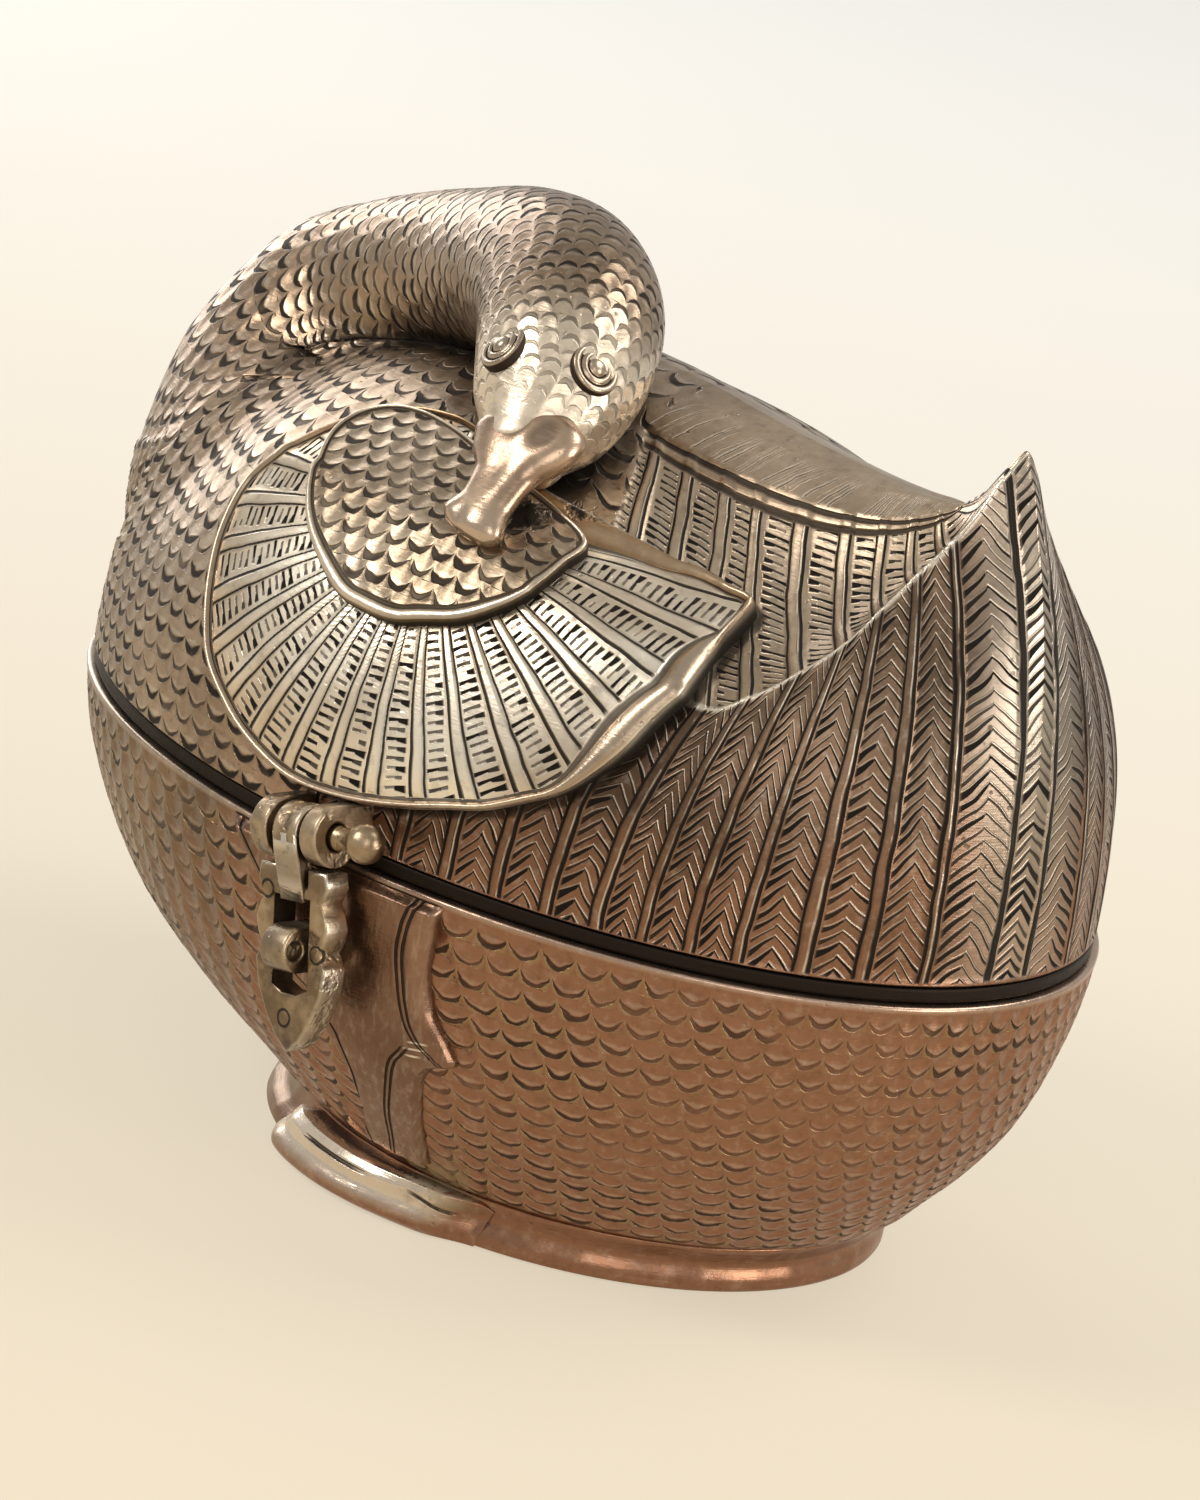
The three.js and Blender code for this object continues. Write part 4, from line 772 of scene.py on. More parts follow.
# lid: the body's upper half
lid = {"edge": 52.0, "height": 64.5, "wall": 3.5, "edgeWall": 4.5, "tailSolid": 12.0, "flank": 2.0, "sag": 3.2,
       "shoulder": 2.0, "spine": 0.8, "outline": 0.988, "reach": 83.0, "columns": 960, "insideColumns": 320,
       "tipLift": (-0.8, 0.0, 2.9), "tipWide": 3.8, "tipPasses": 32, "tipFade": (6.0, 12.0), "tipSoft": (2.5, 6.0),
       "rib": 0.27, "keelRib": 0.08, "ribWidens": (1.6, 2.6), "start": 0.004,
       # rows of scales up the flank, over the back and over the crest, and a scale's width
       "scaleRows": (13, 8, 3), "scaleWide": 4.3, "fewest": 12,
       # feather band where the chest's scales begin, and how much earlier they do on the back
       "chestFrom": 14.2, "chestBack": 3.6, "backShift": 60.0,
       "lines": (1.99, 1.925), "columnDepth": 0.20, "scaleDepth": 0.08, "lineDepth": 0.15,
       "dark": (rgb(0.090, 0.058, 0.037), rgb(0.185, 0.122, 0.079)),
       "pale": (rgb(0.230, 0.162, 0.108), rgb(0.410, 0.310, 0.215)), "backTone": rgb(0.520, 0.420, 0.310),
       # heights of the rows inside, from the spine down
       "inside": (3, 2.6, 2.2, 2, 1.7, 1.35, 1, 0.85, 0.7, 0.55, 0.4, 0.25, 0.12, 0.04),
       # turn, then out, aside and up of the ridge, the same of the strip, and out and up of the spine
       "stations": [
           (0.000, 0.812, 0.000, 1.000, 0.693, 0.000, 0.868, 0.693, 0.868),
           (0.033, 0.797, 0.079, 0.930, 0.701, 0.028, 0.862, 0.682, 0.865),
           (0.071, 0.788, 0.148, 0.851, 0.693, 0.055, 0.850, 0.663, 0.862),
           (0.114, 0.778, 0.222, 0.781, 0.669, 0.090, 0.831, 0.620, 0.859),
           (0.155, 0.770, 0.302, 0.707, 0.633, 0.124, 0.814, 0.572, 0.857),
           (0.197, 0.763, 0.381, 0.637, 0.578, 0.152, 0.800, 0.512, 0.857),
           (0.227, 0.742, 0.471, 0.571, 0.500, 0.176, 0.791, 0.440, 0.859),
           (0.256, 0.708, 0.560, 0.507, 0.410, 0.193, 0.789, 0.361, 0.862),
           (0.281, 0.670, 0.624, 0.468, 0.349, 0.202, 0.791, 0.301, 0.867),
           (0.311, 0.596, 0.666, 0.473, 0.271, 0.210, 0.794, 0.229, 0.873),
           (0.356, 0.458, 0.707, 0.519, 0.169, 0.221, 0.803, 0.145, 0.881),
           (0.411, 0.289, 0.750, 0.558, 0.060, 0.228, 0.816, 0.060, 0.884),
           (0.467, 0.114, 0.772, 0.581, -0.036, 0.233, 0.822, -0.036, 0.884),
           (0.528, -0.096, 0.766, 0.589, -0.145, 0.233, 0.822, -0.145, 0.881),
           (0.600, -0.313, 0.698, 0.581, -0.253, 0.224, 0.809, -0.253, 0.865),
           (0.678, -0.494, 0.543, 0.550, -0.361, 0.198, 0.783, -0.361, 0.834),
           (0.778, -0.633, 0.345, 0.527, -0.458, 0.147, 0.744, -0.458, 0.791),
           (0.889, -0.705, 0.164, 0.504, -0.518, 0.069, 0.713, -0.518, 0.744),
           (1.000, -0.723, 0.000, 0.496, -0.542, 0.000, 0.705, -0.542, 0.721)],
       # turns in degrees where one feather band ends and the next begins, out from the tail's keel
       "bands": [-2.9, 2.9, 12.7, 20.6, 27.9, 35.5, 40.8, 46.0, 50.6, 56.1, 61.6, 67.1, 72.6, 78.1, 83.6, 89.1, 94.6,
                 100.1, 105.6]}
lidStations = tableCurve(lid["stations"])
lidScale = np.array([lid["reach"], bowl["halfWidth"], lid["height"]])
farAway = 50.0


def lidPoint(turn, height, inside=False):
    # turn in half turns from the tail, below 0 on the hasp's side; height 0 edge, 1 ridge, 2 strip, 3 spine
    turn, height = np.broadcast_arrays(np.asarray(turn, float), np.asarray(height, float))
    turn = (turn + 1) % 2 - 1
    share, side, angle = abs(turn), np.where(turn < 0, -1.0, 1.0), turn * np.pi
    row = lidStations(share)
    cos, sin = np.cos(angle), np.sin(angle)
    edge = stacked((bowl["centre"] + bowl["halfLength"] * cos) * lid["outline"],
                   bowl["halfWidth"] * sin * lid["outline"], lid["edge"])
    lift = np.array([0, 0, lid["edge"]])
    ridge = stacked(row[..., 0], side * row[..., 1], row[..., 2]) * lidScale + lift
    strip = stacked(row[..., 3], side * row[..., 4], row[..., 5]) * lidScale + lift
    spine = stacked(row[..., 6], 0.0, row[..., 7]) * lidScale + lift
    if inside:
        inward = stacked(-cos, -sin, 0.0) * lid["edgeWall"]
        edge, ridge = edge + inward, ridge + inward
        ridge[..., 2] -= lid["wall"] + lid["tailSolid"] * (1 - ease(share, 0, 0.3))
        strip[..., 2] -= lid["wall"]
        spine[..., 2] -= lid["wall"] + lid["spine"]
    shoulder = ease(share, 0.21, 0.39)
    low = np.clip(height, 0, 1)
    bend = low ** (1.9 + 0.6 * shoulder)
    bulge = (1 - shoulder) * lid["flank"] * np.sin(np.pi * low) * low
    flank = mixed(edge, ridge, stacked(bend, bend, low)) + stacked(bulge * cos, bulge * sin, 0.0)
    mid = np.clip(height - 1, 0, 1)
    rise = lid["shoulder"] * shoulder - lid["sag"] * (1 - shoulder) * ease(share, 0, 0.09)
    back = mixed(ridge, strip, mid[..., None])
    back[..., 2] += rise * np.sin(np.pi * mid)
    high = np.clip(height - 2, 0, 1)
    crest = mixed(strip, spine, high[..., None])
    crest[..., 2] += lid["spine"] * ease(share, 0, 0.11) * np.sin(np.pi * high)
    height = height[..., None]
    return np.where(height <= 1, flank, np.where(height <= 2, back, crest))


def lidLifted(turn, height, lift):
    # a place over the lid's skin, by a height in mm
    turnStep, upStep = 1 / 720, 0.004
    along = lidPoint(turn + turnStep, height) - lidPoint(turn - turnStep, height)
    up = lidPoint(turn, height + upStep) - lidPoint(turn, height - upStep)
    return lidPoint(turn, height) + unit(np.cross(along, up)) * np.asarray(lift, float)[..., None]


# neck and head: one swept form
neck = {"radius": 12.0, "columns": 300, "scaleWide": 3.9, "scaleDown": 2.6, "headScale": 0.74, "fewest": 8,
        "smaller": (0.62, 0.84), "relief": 0.08, "top": 128.98, "search": 60.0, "hidden": -1.8,
        "tones": (30.0, 0.36, 0.64, rgb(0.165, 0.110, 0.070), rgb(0.320, 0.230, 0.155)),
        "litHeadTone": rgb(0.740, 0.630, 0.490),
        # the face's end: how far out, and the share of the width there
        "face": [(0, 1), (0.35, 0.9), (0.6, 0.62), (0.72, 0.3), (0.76, 0.01)],
        # middle line from breast to face, and half width and depth
        "rows": [(-0.542, 0.000, 0.000, 2.84, 2.67), (-0.572, 0.000, 0.078, 2.82, 2.63),
                 (-0.639, -0.010, 0.248, 2.64, 2.34), (-0.690, -0.015, 0.419, 2.33, 2.04),
                 (-0.708, -0.010, 0.550, 1.92, 1.79), (-0.683, 0.000, 0.672, 1.48, 1.44),
                 (-0.603, 0.000, 0.765, 1.22, 1.20), (-0.480, -0.034, 0.853, 1.09, 1.06),
                 (-0.326, -0.095, 0.933, 1.02, 0.99), (-0.187, -0.172, 0.989, 1.02, 0.98),
                 (-0.060, -0.259, 1.008, 1.02, 1.00), (0.034, -0.345, 0.984, 1.02, 0.99),
                 (0.102, -0.440, 0.927, 0.97, 0.95), (0.148, -0.534, 0.853, 0.82, 0.80),
                 (0.182, -0.621, 0.791, 0.50, 0.50)]}
neckTable = np.array(neck["rows"])
neckLine = sweepLine(neckTable[:, :3] * lidScale + [0, 0, lid["edge"]])
neckSize = curveThrough(np.linspace(0, 1, len(neckTable)), neckTable[:, 3:] * neck["radius"])


def neckFrames(shares):
    spots, along = neckLine(shares)
    across = np.zeros_like(along)
    across[0] = unit(np.array([0, 1, 0]) - along[0] * along[0, 1])
    for i in range(1, len(shares)):
        carried = across[i - 1] - along[i] * (across[i - 1] @ along[i])
        across[i] = unit(carried)
    return spots, along, across, np.cross(along, across)


neckSteps = np.linspace(0, 1, 1201)
neckSpots, neckAlong, neckAcross, neckDeep = neckFrames(neckSteps)
neckLength = np.r_[0, np.cumsum(np.linalg.norm(np.diff(neckSpots, axis=0), axis=1))]


def neckAt(share):
    # middle and directions at a share of the neck's length
    spot, *directions = [np.stack([np.interp(share, neckSteps, part[:, a]) for a in range(3)], -1)
                         for part in (neckSpots, neckAlong, neckAcross, neckDeep)]
    return [spot] + [unit(part) for part in directions]


def neckPoint(share, angle, size=1.0):
    spot, _, across, deep = neckAt(share)
    radii = neckSize(share) * np.asarray(size, float)[..., None]
    return (spot + across * (radii[..., :1] * np.cos(angle)[..., None])
            + deep * (radii[..., 1:] * np.sin(angle)[..., None]))


# fillets where the neck grows out of the body
fillet = {"wide": 15.0, "tight": 1.2, "from": -54.0, "to": -30.0, "chest": -80.8, "within": 16.0,
          # range in metres, from the chest backwards, over which the join gets painted shade
          # "dark": (-0.058, -0.040)}
          "dark": (-0.058, -0.040)}


def nearestOn(target, points, within):
    # signed distance to a grid and its outward normal at the nearest place
    rows, cols = target.shape[:2]
    flat = [tuple(p) for p in target.reshape(-1, 3)]
    faces = [(i * cols + j, i * cols + (j + 1) % cols, (i + 1) * cols + (j + 1) % cols, (i + 1) * cols + j)
             for i in range(rows - 1) for j in range(cols)]
    tree = BVHTree.FromPolygons(flat, faces)
    distance = np.full(points.shape[:-1], 2 * farAway).ravel()
    normals = np.zeros((distance.size, 3))
    for k, p in enumerate(points.reshape(-1, 3)):
        spot, normal, _, gap = tree.find_nearest(p, within)
        if spot is not None:
            normals[k] = normal
            distance[k] = gap if (p - np.array(spot)) @ normals[k] > 0 else -gap
    return distance.reshape(points.shape[:-1]), normals.reshape(points.shape)


def filleted(points, other, within):
    # points drawn towards the other skin near where the two meet, and their distance to it
    distance, otherNormal = nearestOn(other, points, within)
    own = gridNormals(points)
    width = mixed(fillet["wide"], fillet["tight"], ease(points[..., 0], fillet["from"], fillet["to"]))
    away = np.clip(1 - np.sum(own * otherNormal, -1), 0, 1)
    amount = np.clip(width - abs(distance), 0, None) ** 2 / (4 * width) * ease(away, 0.02, 0.3)
    weight = 0.5 * np.clip(1 - abs(distance) / width, 0, 1)[..., None]
    lean = (1 - weight) * own + weight * otherNormal
    lean /= np.maximum(np.sum(lean * lean, -1, keepdims=True), 0.3)
    moved = points + lean * amount[..., None]
    moved[..., 2] = np.maximum(moved[..., 2], np.minimum(points[..., 2], lid["edge"] + 0.02))
    moved[..., 0] = np.maximum(moved[..., 0], fillet["chest"])
    return moved, distance


def bandOf(turn):
    # feather band number at a turn, counted out from the keel on both sides
    degrees = abs(turn) * 180
    number = np.interp(degrees, lid["bands"][1:], np.arange(1, len(lid["bands"])))
    keel = 0.655 + 0.345 * degrees / lid["bands"][1]
    return np.where(degrees < lid["bands"][1], keel, number)


def makeLid():
    columns, strips, rows = lid["columns"], scaleShape["strips"], lid["scaleRows"]
    turns = np.arange(columns + 1) / columns * 2 - 1
    heights = np.concatenate([[lid["start"]]] + [k + np.linspace(0, 1, count * strips + 1)[1:]
                                                 for k, count in enumerate(rows)])
    skin = lidPoint(turns[None, :-1], heights[:, None])
    # the tail's tip is drawn up a little and rounded
    apex = lidPoint(0.0, 1.0)
    fromTip = np.linalg.norm(skin - apex, axis=-1)
    drawn = bell(np.linalg.norm((skin - apex)[..., :2], axis=-1), lid["tipWide"]) * (1 - ease(fromTip, *lid["tipFade"]))
    soft = 0.5 * (1 - ease(fromTip, *lid["tipSoft"]))[..., None]
    soft[[0, -1]] = 0
    skin = skin + drawn[..., None] * np.array(lid["tipLift"])
    for _ in range(lid["tipPasses"]):
        around = (np.roll(skin, 1, 0) + np.roll(skin, -1, 0) + np.roll(skin, 1, 1) + np.roll(skin, -1, 1)) / 4
        skin = skin + (around - skin) * soft
    coarseNeck = neckPoint(np.linspace(0, 1, 90)[:, None], circle(60)[None])
    smooth, toNeck = filleted(skin, coarseNeck, fillet["within"])
    counts = np.maximum(np.round(girths(skin)[:-1:strips] / lid["scaleWide"]), lid["fewest"])
    marks = scaleMarks(columns, counts, 2)
    # length of skin up from the edge, and on the back down from the crest
    along = np.cumsum(np.linalg.norm(np.diff(skin, axis=0, prepend=skin[:1]), axis=-1), 0)
    ridgeRow, crestRow = rows[0] * strips, (rows[0] + rows[1]) * strips
    along[ridgeRow + 1:] = along[crestRow] - along[ridgeRow + 1:] + lid["backShift"]
    band = bandOf(turns)
    feathers = stacked(band[None], columnsWrapped(along), heights[:, None])
    # relief: chest scales, and feather columns a little lower than their plain stripes
    chestFrom = lid["chestFrom"] - lid["chestBack"] * ease(heights, 0.9, 1.3)
    chest = ease(band[None, :-1] - chestFrom[:, None], -0.15, 0.15)
    ribs = mixed(lid["keelRib"], lid["rib"], ease(band, *lid["ribWidens"]))
    column = between(band - np.floor(band), ribs, ribs + 0.06, 0.97, 1.0)[None, :-1]
    feathered = between(heights, 0.005, 0.02, 2.0, 2.04) * (1 - 0.8 * bell(heights - 1, 0.03))
    doubleLine = sum(bell(heights - line, 0.012) for line in lid["lines"])
    depth = chest * (1 - scaleHeight(marks)) * lid["scaleDepth"] * ease(heights, 0.02, 0.06)[:, None]
    depth += (1 - chest) * (column * feathered[:, None] * lid["columnDepth"] + doubleLine[:, None] * lid["lineDepth"])
    depth[-1] = 0
    carved = smooth - gridNormals(smooth) * depth[..., None]
    # distance to the rims of wings and discs, where painted shade darkens the body
    rims = np.concatenate([lidPoint(side * line[:, 0], line[:, 1]) for side in (-1, 1) for line in
                           (lowered(closedCurve(piece["outline"], padSteps), side) for piece in (wing, disc))])
    rimTree = KDTree(len(rims))
    for k, spot in enumerate(rims):
        rimTree.insert(spot, k)
    rimTree.balance()
    toWing = np.array([rimTree.find(spot)[2] for spot in smooth.reshape(-1, 3)]).reshape(toNeck.shape)
    quilt = Patchwork("scales", "feathers", "near")
    quilt.add(carved, wrap=True, sheet=(0, 0.4, 1, 0.6), scales=marks, feathers=feathers,
              near=stacked(columnsWrapped(toNeck), columnsWrapped(toWing), 0.0))
    coarse = np.arange(lid["insideColumns"]) / lid["insideColumns"] * 2 - 1
    inner, outer = lidPoint(coarse, 0, True), lidPoint(coarse, 0)
    inside = [lidPoint(coarse, h, True) for h in lid["inside"]] + [mixed(inner, outer, t) for t in (0, 0.5, 0.9, 0.98)]
    inside = np.stack(inside + [lidPoint(coarse, lid["start"])])
    size = len(inside), len(coarse) + 1, 3
    quilt.add(inside, wrap=True, sheet=(0, 0, 1, 0.38), near=np.full(size, farAway),
              feathers=np.broadcast_to([0.5, 0.0, 2.9], size))
    finished(quilt.mesh("lid_cast"), "lid_cast", "lid", ["lid_shell"], featherMetal())
    return skin


def featherMetal():
    # feathered flank and back, and the chest's scales
    paint = Paint("castFeatherBrass")
    band, along, level = paint.carried("feathers")
    away, wingGap, _ = paint.carried("near")
    x = paint.split(paint.where())[0]
    crescent, rim, scaleHalo, height, number = scalePattern(paint, *paint.carried("scales"), line=0.095)
    chest = band + level.ease(0.9, 1.3) * lid["chestBack"] + (paint.noise(70.0) - 0.5) * 0.8
    chest = chest.ease(lid["chestFrom"] - 0.1, lid["chestFrom"] + 0.1)
    body = 1 - chest
    flank = level.between(0.004, 0.014, 0.985, 1.0)
    back = level.between(1.0, 1.015, 1.90, 1.91)
    ribs = mixed(lid["keelRib"], lid["rib"], band.ease(*lid["ribWidens"]))
    deeper = paint.noise(16.0).ease(0.44, 0.64) * 0.16
    barbs, barbLip, barbHalo = barbPattern(paint, band, along, 3.0, 1.8, stripe=ribs, bold=deeper)
    rungs, rungLip, rungHalo = barbPattern(paint, band, along, 0.0, 1.35, stripe=0.33, bold=0.12)
    lines = level.near(lid["lines"][0], 0.006, 0.02).most(level.near(lid["lines"][1], 0.006, 0.022))
    # fine slanting strokes beside the spine, running out towards the smooth crest
    slant = band * 5.5 + level * 5.5 + (paint.noise(170.0) - 0.5) * 1.6
    fine = level.between(2.03, 2.08, 2.35, 2.65) * body * paint.odd(slant.floor()).ease(0.2, 0.6)
    hairDark = slant.part().line(0.35, 0.16, 0.4) * fine
    hairLight = slant.part().line(0.62, 0.14) * fine
    # painted highlights along the ridge line and in a soft bright band on the flank near the keel
    ridge = level.near(1.0, 0.004, 0.022) * body
    keel = (1 - band.ease(0.7, 2.2)) * flank * (0.25 + 0.4 * paint.noise(30.0, 2.0))
    # painted shade where the neck joins, and along the rims of wings and discs
    joined = x.ease(*fillet["dark"])
    rimShade = wingGap.near(0.0, 0.25, 1.5) * (0.55 + 0.6 * paint.noise(140.0))
    # dark: engraved lines and strokes, with painted shade in the scale crescents, at the neck's join and along the rims
    dark = (crescent * chest).most((barbs * flank + rungs * back) * body).most(lines * body * 0.9)
    dark = dark.most(hairDark * 0.6).most(away.near(0.0, 0.2, 1.6) * joined).most(rimShade.least(1.0))
    # painted highlights: scale rims, stroke lips and glints, the ridge line, hair strokes and the keel
    shine = (rim * chest * 0.6).most((barbLip * flank + rungLip * back) * body * 0.9).most(ridge)
    shine = shine.most(hairLight * 0.85).most(keel)
    # painted shade in soft halos round scales and strokes, and round the neck's join
    halo = (scaleHalo * chest * 0.3).most((barbHalo * flank + rungHalo * back) * body)
    halo = halo.most(away.near(0.0, 0.5, 5.0) * joined)
    patina = paint.noise(16.0).ease(0.40, 0.66) * flank * body * 0.55
    cloud = paint.noise(*metal["cloud"]).ease(0.36, 0.64)
    base = paint.mix(patina, paint.mix(cloud, *lid["dark"]), tones["sootAndShade"])
    base = paint.mix(chest.most(level.ease(1.0, 1.02)), base, paint.mix(cloud, *lid["pale"]))
    base = paint.mix(back * body * 0.4, base, lid["backTone"])
    relief = (height * 0.28 + number * 0.06) * chest + (barbLip * flank + rungLip * back) * body * 0.3
    return castMetal(paint, recess=dark, bright=shine, halo=halo, relief=relief, copper=0.8, headShading=True, cloudy=0.5,
                     base=base)


def makeNeck(body):
    columns, strips, lowest = neck["columns"], scaleShape["strips"], lid["edge"] + 0.01
    # scales get smaller towards the head
    smaller = mixed(1.0, neck["headScale"], ease(neckSteps, *neck["smaller"]))
    counted = np.r_[0, np.cumsum(np.diff(neckLength) / smaller[1:])] / neck["scaleDown"]
    shares = np.interp(np.linspace(0, counted[-1], round(counted[-1]) * strips + 1), counted, neckSteps)
    angles = circle(columns)
    tube = neckPoint(shares[:, None], angles[None])
    tube[..., 2] = np.maximum(tube[..., 2], lowest)
    tube[0, :, 2] = lowest
    wide = neck["scaleWide"] * mixed(1.0, neck["headScale"], ease(shares[:-1:strips], *neck["smaller"]))
    counts = np.maximum(np.round(girths(tube)[:-1:strips] / wide), neck["fewest"])
    marks = scaleMarks(columns, counts, 3)
    smooth, toBody = filleted(tube, body, neck["search"])
    fade = 1 - ease(shares, 0.95, 1.0)
    depth = (1 - scaleHeight(marks)) * neck["relief"] * (0.15 + 0.85 * fade)[:, None]
    surface = smooth - gridNormals(smooth) * depth[..., None]
    surface[..., 2] = np.clip(surface[..., 2], lowest, neck["top"])
    # what lies well inside the body is left out
    corners = [toBody[:-1], toBody[1:], np.roll(toBody, -1, 1)[:-1], np.roll(toBody, -1, 1)[1:]]
    hidden = np.maximum.reduce(corners) < neck["hidden"]
    narrowing = tableCurve(neck["face"])
    outs = neck["face"][-1][0] * np.sin(np.linspace(0, np.pi / 2, 18))[1:]
    end = np.array([1.0])
    forward = neckAt(end)[1][0] * neckSize(end)[0, 1]
    face = np.stack([surface[-1]] + [neckPoint(np.ones_like(angles), angles, narrowing(o)) + forward * o
                                     for o in outs])
    quilt = Patchwork("scales", "near")
    quilt.add(surface, wrap=True, sheet=(0, 0, 1, 0.93), keep=~hidden, scales=marks,
              near=stacked(columnsWrapped(toBody), shares[:, None], 0.0))
    quilt.add(face, wrap=True, sheet=(0, 0.94, 1, 0.05),
              near=np.broadcast_to([farAway, 1.0, 0.0], (len(face), columns + 1, 3)))
    paint = Paint("castScaleBrass")
    away, share, _ = paint.carried("near")
    crescent, rim, halo, height, number = scalePattern(paint, *paint.carried("scales"), line=0.095)
    joined = paint.split(paint.where())[0].ease(*fillet["dark"])
    # painted shade in the crease where the neck grows out of the body, and softly round it
    creviceShade = away.near(0.0, 0.2, 1.8) * joined
    soft = away.near(0.0, 0.5, 6.0) * joined
    # painted highlight: the head is paled towards cream
    front = share.ease(0.82, 0.91)
    base = paint.mix(front * 0.95, paint.clouds(*neck["tones"]), neck["litHeadTone"])
    scaled = (1 - share.ease(0.93, 1.0)) * (1 - front * 0.4)
    # painted shade in the crescents and the join, painted highlights on the scale rims
    finish = castMetal(paint, recess=(crescent * scaled).most(creviceShade), bright=rim * scaled * 0.6, base=base,
                       halo=(halo * scaled * 0.3).most(soft), relief=(height * 0.28 + number * 0.06) * scaled,
                       copper=0.1, rough=0.34, cloudy=0.4, headShading=True)
    finished(quilt.mesh("neck_cast"), "neck_cast", "lid", ["head"], finish)


# wings and shoulder discs
padSteps = 18
wing = {"centre": (0.425, 0.86), "outline": [
    (0.254, 1.47), (0.278, 1.24), (0.294, 1.01), (0.299, 0.89), (0.303, 0.75), (0.311, 0.63), (0.323, 0.51),
    (0.338, 0.42), (0.357, 0.33), (0.379, 0.27), (0.408, 0.20), (0.439, 0.15), (0.467, 0.13), (0.489, 0.14),
    (0.516, 0.19), (0.536, 0.25), (0.560, 0.35), (0.573, 0.46), (0.584, 0.59), (0.592, 0.73), (0.592, 0.88),
    (0.577, 1.01), (0.566, 1.16), (0.554, 1.28), (0.538, 1.38), (0.512, 1.45), (0.483, 1.47), (0.434, 1.40),
    (0.400, 1.39), (0.357, 1.42), (0.314, 1.50), (0.283, 1.54)],
    "far": {"share": 0.62, "length": 0.72, "turn": 0.49, "foot": 0.13},
    # along the rim, counted in points of the outline
    "roll": (-0.5, 1.5, 3.5, 6.5), "rollWide": 2.2, "groove": (26.5, 28.0, 29.5, 32.0), "grooveWide": 2.2,
    "grooveDeep": 0.9, "thin": 0.62, "spread": 11.5, "first": 20.3, "depth": 0.18,
    # pale cream base, partly a painted highlight on the wing's lighter metal
    "tones": (40.0, 0.35, 0.65, rgb(0.60, 0.49, 0.365), rgb(0.92, 0.84, 0.70)),
    "rimTone": rgb(0.30, 0.215, 0.14), "goldTone": rgb(0.30, 0.175, 0.075),
    # inset from the rim and height over the lid
    "border": [(0.0, -1.0), (0.0, 0.8), (0.05, 1.5), (0.2, 2.2), (0.5, 2.75), (0.9, 2.98), (1.2, 3.0), (1.5, 2.9),
               (1.8, 2.62), (2.05, 2.4), (2.3, 2.33), (2.8, 2.42), (3.6, 2.55)], "inner": 2.7, "crown": 0.1}
disc = {"centre": (0.454, 1.07), "outline": [
    (0.533, 1.34), (0.547, 1.25), (0.549, 1.13), (0.539, 0.99), (0.528, 0.89), (0.512, 0.81), (0.486, 0.73),
    (0.466, 0.72), (0.447, 0.73), (0.431, 0.77), (0.411, 0.83), (0.396, 0.92), (0.388, 1.00), (0.379, 1.12),
    (0.371, 1.24), (0.394, 1.29), (0.419, 1.32), (0.451, 1.35), (0.483, 1.38), (0.512, 1.38)],
    "border": [(0.0, 1.7), (0.0, 3.3), (0.06, 3.8), (0.22, 4.2), (0.5, 4.45), (0.85, 4.56), (1.15, 4.55),
               (1.45, 4.45), (1.7, 4.3), (1.95, 4.2), (2.4, 4.2)],
    "inner": 4.25, "crown": 0.35, "scale": 3.8, "tall": 2.55, "depth": 0.14, "thin": 0.55, "wide": (3, 6, 10, 13),
    "tones": (40.0, 0.35, 0.65, rgb(0.30, 0.225, 0.15), rgb(0.52, 0.42, 0.31))}


def lowered(points, side):
    # the far wing lies lower, out of sight behind the back
    points = np.asarray(points, float)
    if side < 0:
        return points
    far = wing["far"]
    return stacked(mixed(far["turn"], points[:, 0], far["length"]), mixed(far["foot"], points[:, 1], far["share"]))


def padMiddle(settings, side):
    return lowered([settings["centre"]], side)[0] * [side, 1]


def makePad(settings, side, engraved, thick, sink=None):
    # a raised plate on the lid's skin, with a border all round
    outline = lowered(closedCurve(settings["outline"], padSteps), side) * [side, 1]
    centre = padMiddle(settings, side)
    middle = lidPoint(*centre)
    out = unit(lidLifted(centre[:1], centre[1:], [1.0])[0] - middle)
    radius = np.linalg.norm(lidPoint(*outline.T) - middle, axis=-1)
    around = np.arange(len(outline)) / padSteps
    spread, sunk = thick(around), 0.0 if sink is None else sink(around)
    shares = [1 - inset * spread / radius for inset, _ in settings["border"]]
    lifts = [radius * 0 + lift - sunk * bell(inset - 1.5, 0.8) for inset, lift in settings["border"]]
    border = shares[-1], settings["border"][-1][1]
    for t in np.linspace(0, 1, 56)[1:]:
        shares.append(border[0] * (1 - t) + 0.004 * t)
        lifts.append(radius * 0 + mixed(border[1], settings["inner"], ease(t, 0, 0.08))
                     + settings["crown"] * math.sin(t * math.pi / 2))
    shares, lifts = np.stack(shares), np.stack(lifts)
    points = lidLifted(mixed(centre[0], outline[:, 0], shares), mixed(centre[1], outline[:, 1], shares), lifts)
    # flat coordinates on the pad, in mm, across and up as seen from outside
    up = unit(np.array([0, 0, 1.0]) - out * out[2])
    across = np.cross(up, out)
    flat = stacked((points - middle) @ across, (points - middle) @ up)
    here, ahead = flat[0], np.roll(flat[0], -1, 0)
    turning = np.sum(here[:, 0] * ahead[:, 1] - here[:, 1] * ahead[:, 0])
    depth, marks = engraved(flat, (1 - shares) * radius / spread, (across, up))
    quilt = Patchwork("flat")
    quilt.add(points - out * depth[..., None], wrap=True, flip=turning < 0, flat=columnsWrapped(marks))
    return quilt


